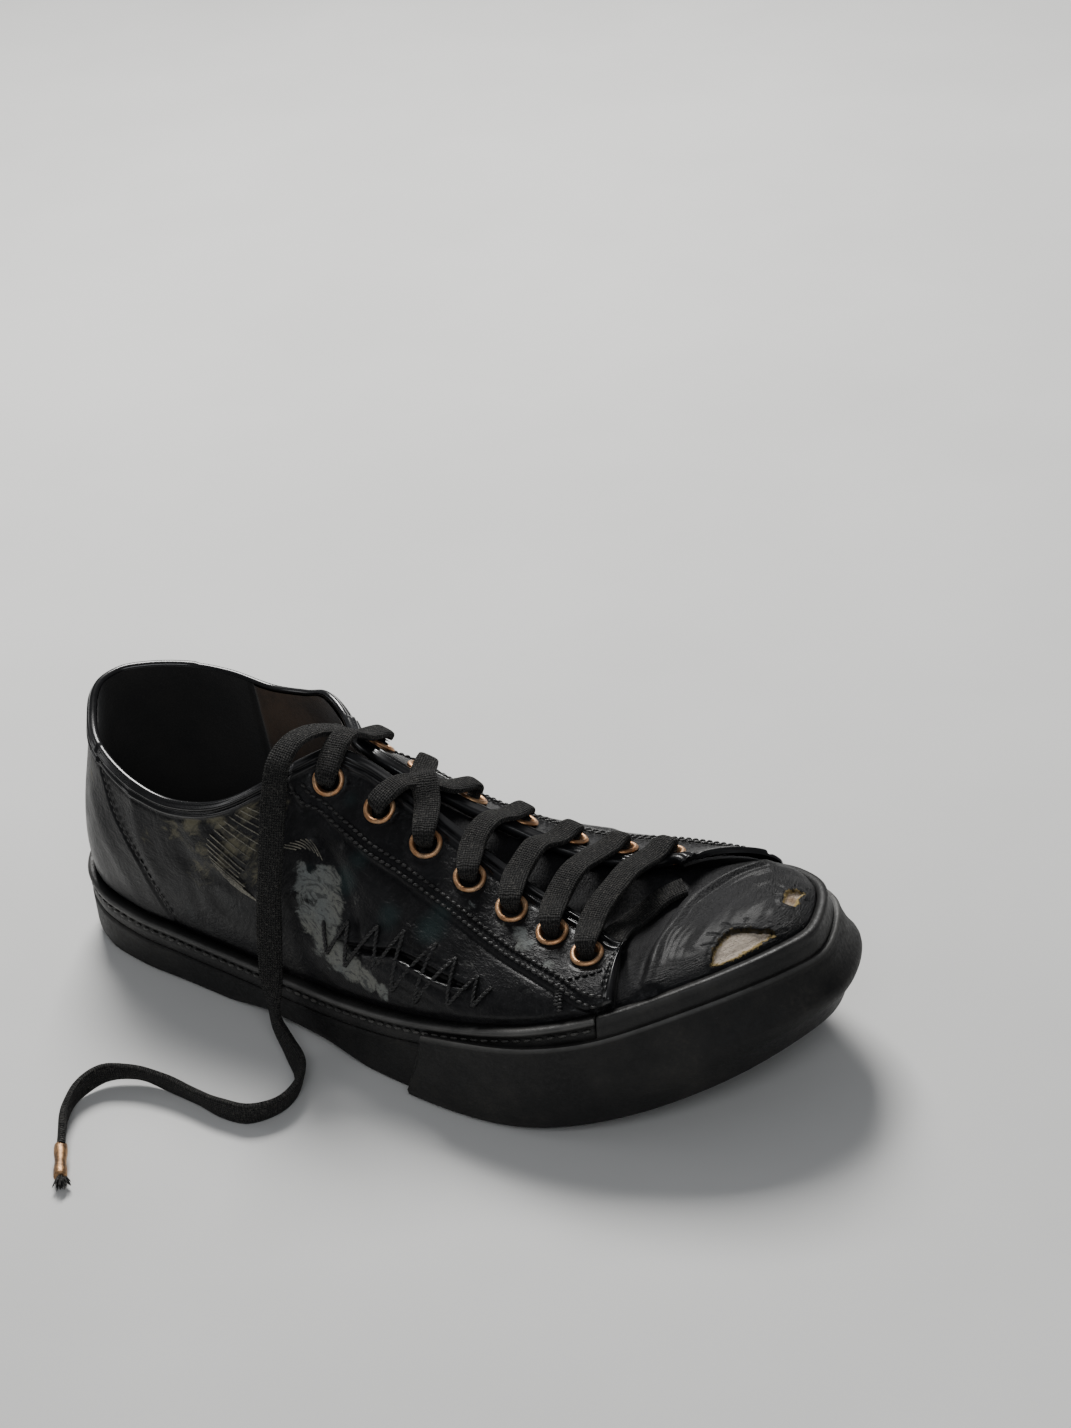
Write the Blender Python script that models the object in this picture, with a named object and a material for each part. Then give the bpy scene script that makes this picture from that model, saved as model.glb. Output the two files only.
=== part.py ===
"""A worn low leather sneaker, the right shoe of a pair, standing empty on its sole.

A rubber cup sole carries a stitched rand, a plain toe strip and a forefoot bumper.
The leather upper is one hollow wall, open at the collar, the throat and underneath.
Frame: +X to the toe, +Y to the inner side of the foot, +Z up, floor at z = 0.
"""
import math

import bmesh
import bpy
import numpy as np
from mathutils import Matrix, Vector

# Main sizes, in metres
SHOE_LENGTH = 0.2945
BALL_WIDTH = 0.118
HEEL_WIDTH = 0.0815
HEEL_HEIGHT = 0.089
SIDE_HEIGHT = 0.071
INSTEP_HEIGHT = 0.093
VAMP_HEIGHT = 0.0535

# Sole
TOE_SPRING = 0.028
TOE_TUCK = 0.0065
BULGE_AT = 0.42
BULGE_FOOT = 0.75
HEEL_BEVEL = 0.008
ARCH_RISE = 0.003
RAND_LOW = 0.0212
RAND_HIGH = 0.0580
RAND_STRIP = 0.0090
TOE_STRIP_SHOW = 0.0075
SOLE_HEEL = 0.0130
SOLE_BALL = 0.0090
BUMPER_WALL = 0.0027
STRIP_WALL = 0.0034
TREAD_HEIGHT = 0.0035
TREAD_SETBACK = 0.0009
TREAD_EDGE = 0.0012
TREAD_RIM_WIDTH = 0.0110
MIDDLE_INSET = 0.0220
LIP_HEIGHT = 0.0022
LIP_PROUD = 0.0007
INSOLE_THICKNESS = 0.0030
BUMPER_EDGE = 0.0008
TOE_LIP_PROUD = 0.0002

# Upper
WALL = 0.0015
QUARTER_STEP = 0.0008
OVERLAY_STEP = 0.0006
PIPING_PROUD = 0.0006
PIPING_WIDTH = 0.0030
EYESTAY_WIDTH = 0.0220
STEP_RUN = 0.0005
FOOT_MARGIN = 0.0030
EYESTAY_MARGIN = 0.0050
RIDGE_HEIGHT = 0.0018
RIDGE_BACK = 0.0090
RIDGE_WIDTH = 0.0040
TONGUE_THICKNESS = 0.0022
TONGUE_REACH = 0.0180
TONGUE_CROWN = 0.07

# Eyelets and lace
EYELET_PAIRS = 7
EYELET_INSET = 0.0100
EYELET_RADIUS = 0.0053
EYELET_BORE = 0.0036
EYELET_BARREL = 0.0004
EYELET_FLANGE = 0.0009
LACE_WIDTH = 0.0086
LACE_THICKNESS = 0.0020
LACE_LOOP = 0.0032
UNDER_BAR_AHEAD = 0.62
UNDER_BAR_BACK = 0.12
LACE_RISE = 0.0022
LACE_EDGE_RISE = 0.0012
LACE_END_RADIUS = 0.0019
AGLET_LENGTH = 0.0125
AGLET_RADIUS = 0.0021
TIP_LENGTH = 0.0060

# Clearances
GAP = 0.0003
SOFT_GAP = 0.0009
TIGHT_GAP = 0.0006
FLANGE_LIFT = 0.0005

# Mesh fineness
RIM_STEPS = 80
EYELET_SIDES = 10

# The sole's outline, once round from the back of the heel by the outer side.
# along: share of the length from the heel; across: share of the width, + inwards;
# ball: 0 follows the heel's width, 1 follows the ball's width.
OUTLINE = [
    # along, across, ball
    (0.000, 0.012, 0.0),
    (0.007, -0.160, 0.0),
    (0.029, -0.295, 0.0),
    (0.070, -0.406, 0.0),
    (0.134, -0.473, 0.0),
    (0.216, -0.504, 0.0),
    (0.301, -0.496, 0.2),
    (0.385, -0.482, 0.5),
    (0.470, -0.479, 0.8),
    (0.555, -0.483, 1.0),
    (0.640, -0.500, 1.0),
    (0.725, -0.488, 1.0),
    (0.810, -0.424, 1.0),
    (0.881, -0.331, 1.0),
    (0.939, -0.217, 1.0),
    (0.978, -0.089, 1.0),
    (1.000, 0.059, 1.0),
    (0.988, 0.211, 1.0),
    (0.956, 0.347, 1.0),
    (0.900, 0.436, 1.0),
    (0.827, 0.483, 1.0),
    (0.742, 0.502, 1.0),
    (0.657, 0.483, 1.0),
    (0.555, 0.415, 1.0),
    (0.470, 0.397, 0.8),
    (0.385, 0.411, 0.5),
    (0.301, 0.461, 0.2),
    (0.216, 0.509, 0.0),
    (0.134, 0.496, 0.0),
    (0.070, 0.429, 0.0),
    (0.029, 0.318, 0.0),
    (0.007, 0.183, 0.0),
]

# How the top of the rand climbs along the shoe: 0 is the waist, 1 is the toe.
RAND_LINE = [
    # along, climb
    (0.000, 0.20),
    (0.030, 0.13),
    (0.066, 0.09),
    (0.273, 0.00),
    (0.470, 0.09),
    (0.623, 0.30),
    (0.783, 0.60),
    (0.952, 0.98),
    (1.000, 1.00),
]

# Sections of the upper, once round from the back of the heel by the outer side.
# around: share of the way round; along, across: the top edge, as shares of length
# and ball width; level, share: its height as a share of a named height;
# lean: degrees outwards at the rand; slope: rise of the leather at the top edge;
# low, high: pull of the curve at its two ends, as shares of its chord.
SECTIONS = [
    # around, along, across, level, share, lean, slope, low, high
    (0.000, 0.039, 0.016, "heel", 0.990, 8, 82, 0.36, 0.34),
    (0.034, 0.056, -0.094, "heel", 0.925, 9, 80, 0.36, 0.34),
    (0.069, 0.096, -0.187, "side", 1.090, 10, 78, 0.36, 0.34),
    (0.098, 0.154, -0.242, "side", 1.028, 11, 77, 0.36, 0.34),
    (0.129, 0.223, -0.263, "side", 1.000, 11, 76, 0.36, 0.34),
    (0.154, 0.287, -0.250, "side", 1.056, 10, 73, 0.36, 0.34),
    (0.175, 0.338, -0.208, "instep", 0.892, 9, 67, 0.36, 0.34),
    (0.190, 0.376, -0.145, "instep", 0.968, 8, 62, 0.36, 0.34),
    (0.202, 0.406, -0.089, "instep", 1.000, 6, 57, 0.36, 0.34),
    (0.214, 0.437, -0.064, "instep", 0.962, 4, 48, 0.36, 0.34),
    (0.236, 0.494, -0.068, "instep", 0.887, 1, 33, 0.36, 0.34),
    (0.272, 0.579, -0.088, "instep", 0.763, -2, 25, 0.34, 0.34),
    (0.312, 0.667, -0.115, "vamp", 1.136, -8, 18, 0.32, 0.34),
    (0.350, 0.742, -0.140, "vamp", 1.047, -15, 17, 0.30, 0.34),
    (0.373, 0.776, -0.163, "vamp", 1.005, -20, 15, 0.30, 0.34),
    (0.390, 0.783, -0.151, "vamp", 0.980, -25, 8, 0.30, 0.34),
    (0.419, 0.789, -0.094, "vamp", 0.962, -30, -16, 0.28, 0.32),
    (0.461, 0.793, -0.034, "vamp", 0.962, -34, -30, 0.27, 0.32),
    (0.509, 0.794, 0.033, "vamp", 0.972, -34, -33, 0.27, 0.32),
    (0.550, 0.794, 0.101, "vamp", 1.000, -30, -26, 0.28, 0.32),
    (0.589, 0.783, 0.177, "vamp", 1.060, -18, 2, 0.30, 0.34),
    (0.612, 0.769, 0.173, "vamp", 1.084, -8, 12, 0.32, 0.34),
    (0.637, 0.735, 0.135, "vamp", 1.090, -4, 14, 0.34, 0.34),
    (0.672, 0.667, 0.080, "vamp", 1.140, -2, 25, 0.34, 0.34),
    (0.712, 0.582, 0.038, "instep", 0.747, 2, 32, 0.34, 0.34),
    (0.753, 0.488, 0.008, "instep", 0.855, 4, 28, 0.36, 0.34),
    (0.778, 0.430, 0.000, "instep", 0.935, 4, 28, 0.36, 0.34),
    (0.792, 0.399, 0.033, "instep", 0.946, 5, 40, 0.36, 0.34),
    (0.804, 0.376, 0.093, "instep", 0.935, 6, 52, 0.36, 0.34),
    (0.817, 0.348, 0.156, "instep", 0.935, 6, 64, 0.36, 0.34),
    (0.834, 0.310, 0.211, "instep", 0.946, 6, 74, 0.36, 0.34),
    (0.855, 0.270, 0.237, "heel", 0.949, 7, 80, 0.36, 0.34),
    (0.880, 0.219, 0.247, "heel", 0.924, 8, 82, 0.36, 0.34),
    (0.911, 0.158, 0.237, "heel", 0.955, 8, 82, 0.36, 0.34),
    (0.941, 0.107, 0.199, "heel", 0.978, 8, 82, 0.36, 0.34),
    (0.966, 0.070, 0.127, "heel", 1.000, 8, 81, 0.36, 0.34),
    (0.985, 0.048, 0.071, "heel", 1.002, 8, 82, 0.36, 0.34),
]

# Seams and eyelet rows, as shares of the way round
COUNTER_SEAMS = (0.070, 0.932)
FLAP_FRONTS = (0.388, 0.591)
EYESTAY_BACKS = (0.192, 0.802)
OUTER_EYELETS = (0.204, 0.360)
INNER_EYELETS = (0.788, 0.632)
STRIP_ENDS = (0.380, 0.603)
BUMPER_TOPS = (0.290, 0.702)
BUMPER_FEET = (0.277, 0.716)

# Route of the loose lace end, in metres, from the throat over the outer side to the floor
LACE_ROUTE = [
    (-0.0322, 0.0005, 0.0940),
    (-0.0330, -0.0055, 0.0968),
    (-0.0343, -0.0125, 0.0995),
    (-0.0350, -0.0210, 0.1005),
    (-0.0350, -0.0290, 0.0975),
    (-0.0345, -0.0355, 0.0860),
    (-0.0340, -0.0410, 0.0710),
    (-0.0350, -0.0450, 0.0540),
    (-0.0350, -0.0485, 0.0370),
    (-0.0345, -0.0515, 0.0230),
    (-0.0320, -0.0545, 0.0110),
    (-0.0250, -0.0580, 0.0045),
    (-0.0170, -0.0640, 0.0030),
    (-0.0120, -0.0730, 0.0030),
    (-0.0120, -0.0830, 0.0030),
    (-0.0180, -0.0905, 0.0030),
    (-0.0280, -0.0920, 0.0030),
    (-0.0400, -0.0905, 0.0030),
    (-0.0520, -0.0895, 0.0035),
    (-0.0650, -0.0905, 0.0045),
    (-0.0740, -0.0955, 0.0045),
    (-0.0770, -0.1050, 0.0035),
    (-0.0740, -0.1155, 0.0030),
    (-0.0680, -0.1245, 0.0030),
    (-0.0630, -0.1310, 0.0030),
]

LEVELS = {
    "heel": HEEL_HEIGHT,
    "side": SIDE_HEIGHT,
    "instep": INSTEP_HEIGHT,
    "vamp": VAMP_HEIGHT,
}


def spline(knots, rows, period=None):
    """A smooth curve through the rows, one row for each knot; closed if a period is given."""
    knots = np.asarray(knots, float)
    rows = np.asarray(rows, float).reshape(len(knots), -1)
    if period:
        knots = np.concatenate([knots[-2:] - period, knots, knots[:2] + period])
        rows = np.concatenate([rows[-2:], rows, rows[:2]])
    spans = np.diff(knots)
    steps = np.diff(rows, axis=0) / spans[:, None]
    slopes = np.empty_like(rows)
    slopes[0] = steps[0]
    slopes[-1] = steps[-1]
    slopes[1:-1] = (spans[1:, None] * steps[:-1] + spans[:-1, None] * steps[1:]) \
        / (spans[1:] + spans[:-1])[:, None]

    def value(at):
        at = np.asarray(at, float)
        if period:
            at = np.mod(at, period)
        cell = np.clip(np.searchsorted(knots, at, side="right") - 1, 0, len(spans) - 1)
        span = spans[cell][..., None]
        t = np.clip((at - knots[cell])[..., None] / span, 0.0, 1.0)
        start, end = rows[cell], rows[cell + 1]
        leave, arrive = slopes[cell] * span, slopes[cell + 1] * span
        return (start * (1 + 2 * t) * (1 - t) ** 2 + leave * t * (1 - t) ** 2
                + end * t * t * (3 - 2 * t) + arrive * t * t * (t - 1))

    return value


def make_rim():
    """The outline as a function of the share of the way round and an inset."""
    table = np.array(OUTLINE)
    widths = HEEL_WIDTH + (BALL_WIDTH - HEEL_WIDTH) * table[:, 2]
    points = np.column_stack([(table[:, 0] - 0.5) * SHOE_LENGTH, table[:, 1] * widths])
    chords = np.linalg.norm(np.roll(points, -1, axis=0) - points, axis=1)
    knots = np.concatenate([[0.0], np.cumsum(chords)])
    curve = spline(knots[:-1], points, knots[-1])
    fine = curve(np.linspace(0.0, knots[-1], 1441))
    fine -= (fine.min(axis=0) + fine.max(axis=0)) / 2
    walked = np.concatenate([[0.0], np.cumsum(np.linalg.norm(np.diff(fine, axis=0), axis=1))])
    share = walked / walked[-1]
    ahead = np.roll(fine[:-1], -1, axis=0) - np.roll(fine[:-1], 1, axis=0)
    inward = np.column_stack([-ahead[:, 1], ahead[:, 0]])
    inward /= np.linalg.norm(inward, axis=1)[:, None]
    inward = np.vstack([inward, inward[:1]])

    def rim(around, inset=0.0):
        around = np.mod(around, 1.0)
        base = np.column_stack([np.interp(around, share, fine[:, k]) for k in (0, 1)])
        turn = np.column_stack([np.interp(around, share, inward[:, k]) for k in (0, 1)])
        return base + turn * np.reshape(inset, (-1, 1))

    return rim


def tuck(around):
    """How far the toe's side leans in from its foot to its top."""
    around = np.mod(around, 1.0)
    return TOE_TUCK * ramp(around, 0.34, 0.48) * (1 - ramp(around, 0.55, 0.69))


def toe_lean(climb):
    """Share of the tuck from the tread, 0, to the shelf, 1: the side bulges in between."""
    if climb < BULGE_AT:
        return BULGE_FOOT * (1 - climb / BULGE_AT)
    return (climb - BULGE_AT) / (1 - BULGE_AT)


RIM = make_rim()
RAND_CLIMB = spline([row[0] for row in RAND_LINE], [[row[1]] for row in RAND_LINE])


def share_along(x):
    return np.asarray(x) / SHOE_LENGTH + 0.5


def ramp(value, start, end):
    """0 before start, 1 after end, smooth between."""
    t = np.clip((np.asarray(value, float) - start) / (end - start), 0.0, 1.0)
    return t * t * (3 - 2 * t)


def spring(x):
    """Height of the bottom under the toe."""
    return TOE_SPRING * np.clip((share_along(x) - 0.64) / 0.36, 0.0, None) ** 2


def bottom(x):
    """Height of the sole's underside, with its heel bevel, arch and toe spring."""
    along = share_along(x)
    heel = HEEL_BEVEL * np.clip((0.06 - along) / 0.06, 0.0, None)
    arch = ARCH_RISE * ramp(along, 0.27, 0.35) * (1 - ramp(along, 0.43, 0.51))
    return heel + arch + spring(x)


def rand_top(x):
    climb = RAND_CLIMB(np.clip(share_along(x), 0.0, 1.0))[..., 0]
    return RAND_LOW + (RAND_HIGH - RAND_LOW) * climb


def bumper_top(x):
    drop = 0.45 + 0.55 * ramp(share_along(x), 0.59, 0.83)
    return rand_top(x) - TOE_STRIP_SHOW * drop


def shelf(x):
    """Height of the cup's wall, which carries the rand and toe strips."""
    return rand_top(x) - RAND_STRIP


def footbed(x):
    """Height of the sole inside the cup."""
    thick = SOLE_HEEL + (SOLE_BALL - SOLE_HEEL) * ramp(share_along(x), 0.27, 0.57)
    return np.minimum(thick + spring(x), shelf(x) - GAP)


# Insets from the outline, worked inwards; the twisted sides need half a gap more
SIDE_INSET = BUMPER_WALL + 1.5 * GAP
STRIP_INSET = SIDE_INSET + 0.0003
UPPER_INSET = STRIP_INSET + STRIP_WALL + GAP
LINING_INSET = UPPER_INSET + WALL
INSOLE_INSET = LINING_INSET + SOFT_GAP


def ring(around, inset, height, lean=1.0):
    """Points round the rim at an inset; height is a function of x, or one number.

    lean is the share of the toe's tuck, from toe_lean below the shelf and 1 above it.
    """
    around = np.atleast_1d(around)
    plan = RIM(around, inset + tuck(around) * lean)
    z = height(plan[:, 0]) if callable(height) else np.full(len(plan), height)
    return np.column_stack([plan, z])


# The upper's surface

SECTION_ROWS = spline(
    [row[0] for row in SECTIONS],
    [[(row[1] - 0.5) * SHOE_LENGTH, row[2] * BALL_WIDTH, LEVELS[row[3]] * row[4], *row[5:]]
     for row in SECTIONS],
    1.0)
CURVE_STEPS = np.linspace(0.0, 1.0, 33)


def section(around):
    """The leather's curve from the rand to the top edge, as 33 points."""
    row = SECTION_ROWS(around % 1.0)
    foot = ring(around, UPPER_INSET, rand_top)[0]
    edge = row[:3]
    lean, slope = math.radians(row[3]), math.radians(row[4])
    outside = ring(around, 0.0, rand_top)[0]
    inward = edge - outside
    inward[2] = 0.0
    inward /= np.linalg.norm(inward)
    chord = np.linalg.norm(edge - foot)
    up = np.array([0.0, 0.0, 1.0])
    first = foot + row[5] * chord * (up * math.cos(lean) - inward * math.sin(lean))
    second = edge - row[6] * chord * (inward * math.cos(slope) + up * math.sin(slope))
    t = CURVE_STEPS[:, None]
    return ((1 - t) ** 3 * foot + 3 * t * (1 - t) ** 2 * first
            + 3 * t * t * (1 - t) * second + t ** 3 * edge)


def section_length(around):
    return float(np.linalg.norm(np.diff(section(around), axis=0), axis=1).sum())


def middle_surface(around, down):
    """A point of the leather's inner layer, at a distance down from the top edge."""
    curve = section(around)[::-1]
    walked = np.concatenate([[0.0], np.cumsum(np.linalg.norm(np.diff(curve, axis=0), axis=1))])
    return np.array([np.interp(down, walked, curve[:, k]) for k in range(3)])


def outward(around, down):
    """The unit normal of the leather, pointing out of the shoe."""
    step, reach = 0.002, 0.001
    most = section_length(around)
    low, high = min(down + reach, most), max(down - reach, 0.0)
    ahead = middle_surface(around + step, down) - middle_surface(around - step, down)
    rise = middle_surface(around, high) - middle_surface(around, low)
    normal = np.cross(ahead, rise)
    return normal / np.linalg.norm(normal)


def between(around, ends):
    return ends[0] < around < ends[1]


def on_vamp(around):
    return between(around, FLAP_FRONTS)


def on_eyestay(around):
    return between(around, (EYESTAY_BACKS[0], FLAP_FRONTS[0])) \
        or between(around, (FLAP_FRONTS[1], EYESTAY_BACKS[1]))


def overlay(around, down):
    """How far the leather stands out over its inner layer: quarter, counter and eyestay."""
    if on_vamp(around):
        ridge = RIDGE_HEIGHT * math.exp(-((down - RIDGE_BACK) / RIDGE_WIDTH) ** 2)
        return ridge * float(ramp(abs(around - 0.5), 0.09, 0.04))
    proud = QUARTER_STEP
    if not between(around, COUNTER_SEAMS):
        proud += OVERLAY_STEP
    if on_eyestay(around) and down < eyestay_width(around):
        proud += OVERLAY_STEP
    piping = PIPING_PROUD if 0.0 < down < PIPING_WIDTH * 0.9 else 0.0
    return proud + piping


def eyestay_width(around):
    return min(EYESTAY_WIDTH, section_length(around) - EYESTAY_MARGIN)


def outer_rows(around):
    """Distances down from the top edge at which the outside is modelled."""
    length = section_length(around)
    seam = eyestay_width(around)
    rest = length - FOOT_MARGIN - seam
    return [0.0, PIPING_WIDTH * 0.5, PIPING_WIDTH, seam * 0.5, seam - STEP_RUN, seam + STEP_RUN,
            seam + rest * 0.36, seam + rest * 0.70, seam + rest]


def inner_rows(around):
    length = section_length(around)
    seam = eyestay_width(around)
    rest = length - seam
    return [0.0, seam * 0.5, seam, seam + rest * 0.36, seam + rest * 0.70, length]


def wall_section(around):
    """One closed loop of the upper: up the lining, over the edge and down the outside."""
    foot_z = ring(around, UPPER_INSET, footbed)[0, 2] + GAP
    loop = [ring(around, LINING_INSET, foot_z)[0]]
    for down in reversed(inner_rows(around)):
        loop.append(middle_surface(around, down) - WALL * outward(around, down))
    for down in outer_rows(around):
        loop.append(middle_surface(around, down) + overlay(around, down) * outward(around, down))
    loop.append(ring(around, UPPER_INSET, rand_top)[0])
    loop.append(ring(around, UPPER_INSET, foot_z)[0])
    return loop


def upper_stations():
    """Even stations round the shoe, with a close pair at each seam across the wall."""
    seams = [*COUNTER_SEAMS, *FLAP_FRONTS, *EYESTAY_BACKS]
    close = 0.0007
    even = [k / RIM_STEPS for k in range(RIM_STEPS)]
    keep = [a for a in even if min(abs(a - seam) for seam in seams) > 0.004]
    return sorted(keep + [seam - close for seam in seams] + [seam + close for seam in seams])


# Mesh making

def material(name, colour, rough, metal=0.0):
    made = bpy.data.materials.new(name)
    made.use_nodes = True
    shader = made.node_tree.nodes["Principled BSDF"]
    shader.inputs["Base Color"].default_value = (*colour, 1.0)
    shader.inputs["Roughness"].default_value = rough
    shader.inputs["Metallic"].default_value = metal
    made.diffuse_color = (*colour, 1.0)
    return made


def new_object(name, mesh, finish):
    made = bpy.data.objects.new(name, mesh)
    bpy.context.scene.collection.objects.link(made)
    if finish and not mesh.materials:
        mesh.materials.append(finish)
    return made


def finish_mesh(name, work, finish):
    bmesh.ops.recalc_face_normals(work, faces=work.faces)
    mesh = bpy.data.meshes.new(name)
    work.to_mesh(mesh)
    work.free()
    mesh.shade_smooth()
    mesh.set_sharp_from_angle(angle=math.radians(40))
    return new_object(name, mesh, finish)


def loft(name, loops, finish, closed=False):
    """A body through closed loops of equal count; its path is closed, or its ends are capped."""
    work = bmesh.new()
    rows = [[work.verts.new(point) for point in loop] for loop in loops]
    count = len(rows[0])
    pairs = list(zip(rows, rows[1:]))
    if closed:
        pairs.append((rows[-1], rows[0]))
    for here, there in pairs:
        for k in range(count):
            n = (k + 1) % count
            work.faces.new((here[k], here[n], there[n], there[k]))
    if not closed:
        work.faces.new(rows[0])
        work.faces.new(rows[-1])
    return finish_mesh(name, work, finish)


def sheet(name, tops, unders, finish):
    """A thin curved body between two grids of points of equal size."""
    work = bmesh.new()
    upper = [[work.verts.new(point) for point in row] for row in tops]
    lower = [[work.verts.new(point) for point in row] for row in unders]
    for grid in (upper, lower):
        for here, there in zip(grid, grid[1:]):
            for k in range(len(here) - 1):
                work.faces.new((here[k], here[k + 1], there[k + 1], there[k]))
    edges = [(upper[0], lower[0]), (upper[-1], lower[-1])]
    for end in (0, -1):
        edges.append(([row[end] for row in upper], [row[end] for row in lower]))
    for over, under in edges:
        for k in range(len(over) - 1):
            work.faces.new((over[k], over[k + 1], under[k + 1], under[k]))
    return finish_mesh(name, work, finish)


def shell(name, rings, finish):
    """A body through rings round the rim; the first and last are filled across the shoe."""
    work = bmesh.new()
    rows = [[work.verts.new(point) for point in loop] for loop in rings]
    count = len(rows[0])
    for here, there in zip(rows, rows[1:]):
        for k in range(count):
            n = (k + 1) % count
            work.faces.new((here[k], here[n], there[n], there[k]))
    for row in (rows[0], rows[-1]):
        for k in range(count // 2):
            far, near = row[(count - k) % count], row[count - k - 1]
            corners = [row[k], row[k + 1], near, far]
            work.faces.new(list(dict.fromkeys(corners)))
    return finish_mesh(name, work, finish)


def side_height(climb):
    """A height on the sole's side: 0 is the top of the tread, 1 is the shelf."""
    def height(x):
        low = bottom(x) + TREAD_HEIGHT
        return low + (shelf(x) - low) * climb
    return height


def make_outsole(finish):
    """The cup sole: tread, side wall, shelf for the strips and the bed inside the cup."""
    around = np.arange(RIM_STEPS) / RIM_STEPS
    cup = UPPER_INSET - GAP
    tread = SIDE_INSET + TREAD_SETBACK
    foot = BULGE_FOOT
    rings = [
        ring(around, MIDDLE_INSET, bottom, foot),
        ring(around, TREAD_RIM_WIDTH, bottom, foot),
        ring(around, tread + TREAD_EDGE, bottom, foot),
        ring(around, tread, lambda x: bottom(x) + TREAD_HEIGHT * 0.35, foot),
        ring(around, tread, lambda x: bottom(x) + TREAD_HEIGHT - GAP, foot),
        ring(around, SIDE_INSET, side_height(0.0), foot),
        ring(around, SIDE_INSET, side_height(BULGE_AT), 0.0),
        ring(around, SIDE_INSET, side_height(1.0)),
        ring(around, cup, shelf),
        ring(around, cup, footbed),
        ring(around, MIDDLE_INSET, footbed),
    ]
    return shell("outsole", rings, finish)


def make_insole(finish):
    around = np.arange(RIM_STEPS) / RIM_STEPS
    rise = INSOLE_THICKNESS + GAP
    rings = [
        ring(around, MIDDLE_INSET, lambda x: footbed(x) + GAP),
        ring(around, INSOLE_INSET, lambda x: footbed(x) + GAP),
        ring(around, INSOLE_INSET, lambda x: footbed(x) + rise),
        ring(around, MIDDLE_INSET, lambda x: footbed(x) + rise),
    ]
    return shell("insole", rings, finish)


def strip_loop(around, lip):
    """A strip's section: it stands on the shelf, against the upper, with a lip at its top."""
    inner = UPPER_INSET - GAP
    low = ring(around, STRIP_INSET, shelf)[0, 2] + GAP
    top = ring(around, UPPER_INSET, rand_top)[0, 2] - GAP
    lip_low = top - LIP_HEIGHT
    plan = [(inner, low), (STRIP_INSET, low), (STRIP_INSET, lip_low), (STRIP_INSET - lip, lip_low),
            (STRIP_INSET - lip * 0.6, top), (inner, top)]
    return [ring(around, inset, z)[0] for inset, z in plan]


def strip_stations(start, end):
    """The two ends, and the sole's own stations between them."""
    first, last = math.ceil(start * RIM_STEPS + 0.3), math.floor(end * RIM_STEPS - 0.3)
    return [start, *(k / RIM_STEPS for k in range(first, last + 1)), end]


def make_rand_strip(finish):
    """The stitched rand, from the outer joint round the heel to the inner joint."""
    joint = GAP / (2.3 * SHOE_LENGTH)
    start, end = STRIP_ENDS[1] + joint, 1.0 + STRIP_ENDS[0] - joint
    stations = strip_stations(start, end)
    return loft("rand_strip", [strip_loop(a, LIP_PROUD) for a in stations], finish)


def make_toe_strip(finish):
    joint = GAP / (2.3 * SHOE_LENGTH)
    stations = strip_stations(STRIP_ENDS[0] + joint, STRIP_ENDS[1] - joint)
    return loft("toe_strip", [strip_loop(a, TOE_LIP_PROUD) for a in stations], finish)


def make_bumper(finish):
    """The forefoot bumper, a band with slanting ends from the tread to the toe strip."""
    start, end = BUMPER_TOPS
    slant = 0.04
    loops = []
    for top_at in strip_stations(start, end):
        foot_at = (top_at + (BUMPER_FEET[0] - start) * float(ramp(top_at, start + slant, start))
                   + (BUMPER_FEET[1] - end) * float(ramp(top_at, end - slant, end)))
        high = ring(top_at, 0.0, bumper_top)[0, 2]
        low = ring(foot_at, 0.0, bottom, BULGE_FOOT)[0, 2] + TREAD_HEIGHT * 0.45
        profile = [(BUMPER_WALL, None), (BUMPER_EDGE, None), (0.0, 0.0), (0.0, BULGE_AT),
                   (0.0, 0.92), (BUMPER_EDGE, 1.0), (BUMPER_WALL, 1.0), (BUMPER_WALL, BULGE_AT),
                   (BUMPER_WALL, 0.0)]
        loop = []
        for inset, climb in profile:
            share = climb or 0.0
            lean = toe_lean(share)
            at = foot_at + (top_at - foot_at) * share
            z = low if climb is None else ring(at, inset, side_height(share), lean)[0, 2]
            if share > 0.9:
                z += (high - ring(at, inset, shelf)[0, 2]) * (share - 0.9) / 0.1
            loop.append(ring(at, inset, z, lean)[0])
        loops.append(loop)
    return loft("toe_bumper", loops, finish)


def eyelet_places():
    """Share of the way round for each eyelet, outer row first, from the collar to the toe."""
    rows = []
    for start, end in (OUTER_EYELETS, INNER_EYELETS):
        rows.append([start + (end - start) * k / (EYELET_PAIRS - 1) for k in range(EYELET_PAIRS)])
    return rows


def eyelet_seat(around):
    """The plane that touches the outside of the eyestay under an eyelet: point and normal."""
    share = EYELET_RADIUS / (2.3 * SHOE_LENGTH)
    spots = [(around + a * share, EYELET_INSET + b * EYELET_RADIUS)
             for a in (-1, 0, 1) for b in (-1, 0, 1)]
    normal = sum(outward(*spot) for spot in spots)
    normal /= np.linalg.norm(normal)
    points = [middle_surface(*spot) for spot in spots]
    centre = points[4]
    highest = max(float(np.dot(point - centre, normal)) for point in points)
    return centre + (QUARTER_STEP + OVERLAY_STEP + highest) * normal, normal


def seat_matrix(around):
    seat, normal = eyelet_seat(around)
    turn = Vector(normal).to_track_quat("Z", "Y")
    return Matrix.Translation(Vector(seat)) @ turn.to_matrix().to_4x4()


HOLE_RADIUS = EYELET_BORE + EYELET_BARREL + GAP
WALL_AT_EYELET = WALL + QUARTER_STEP + OVERLAY_STEP


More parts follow.
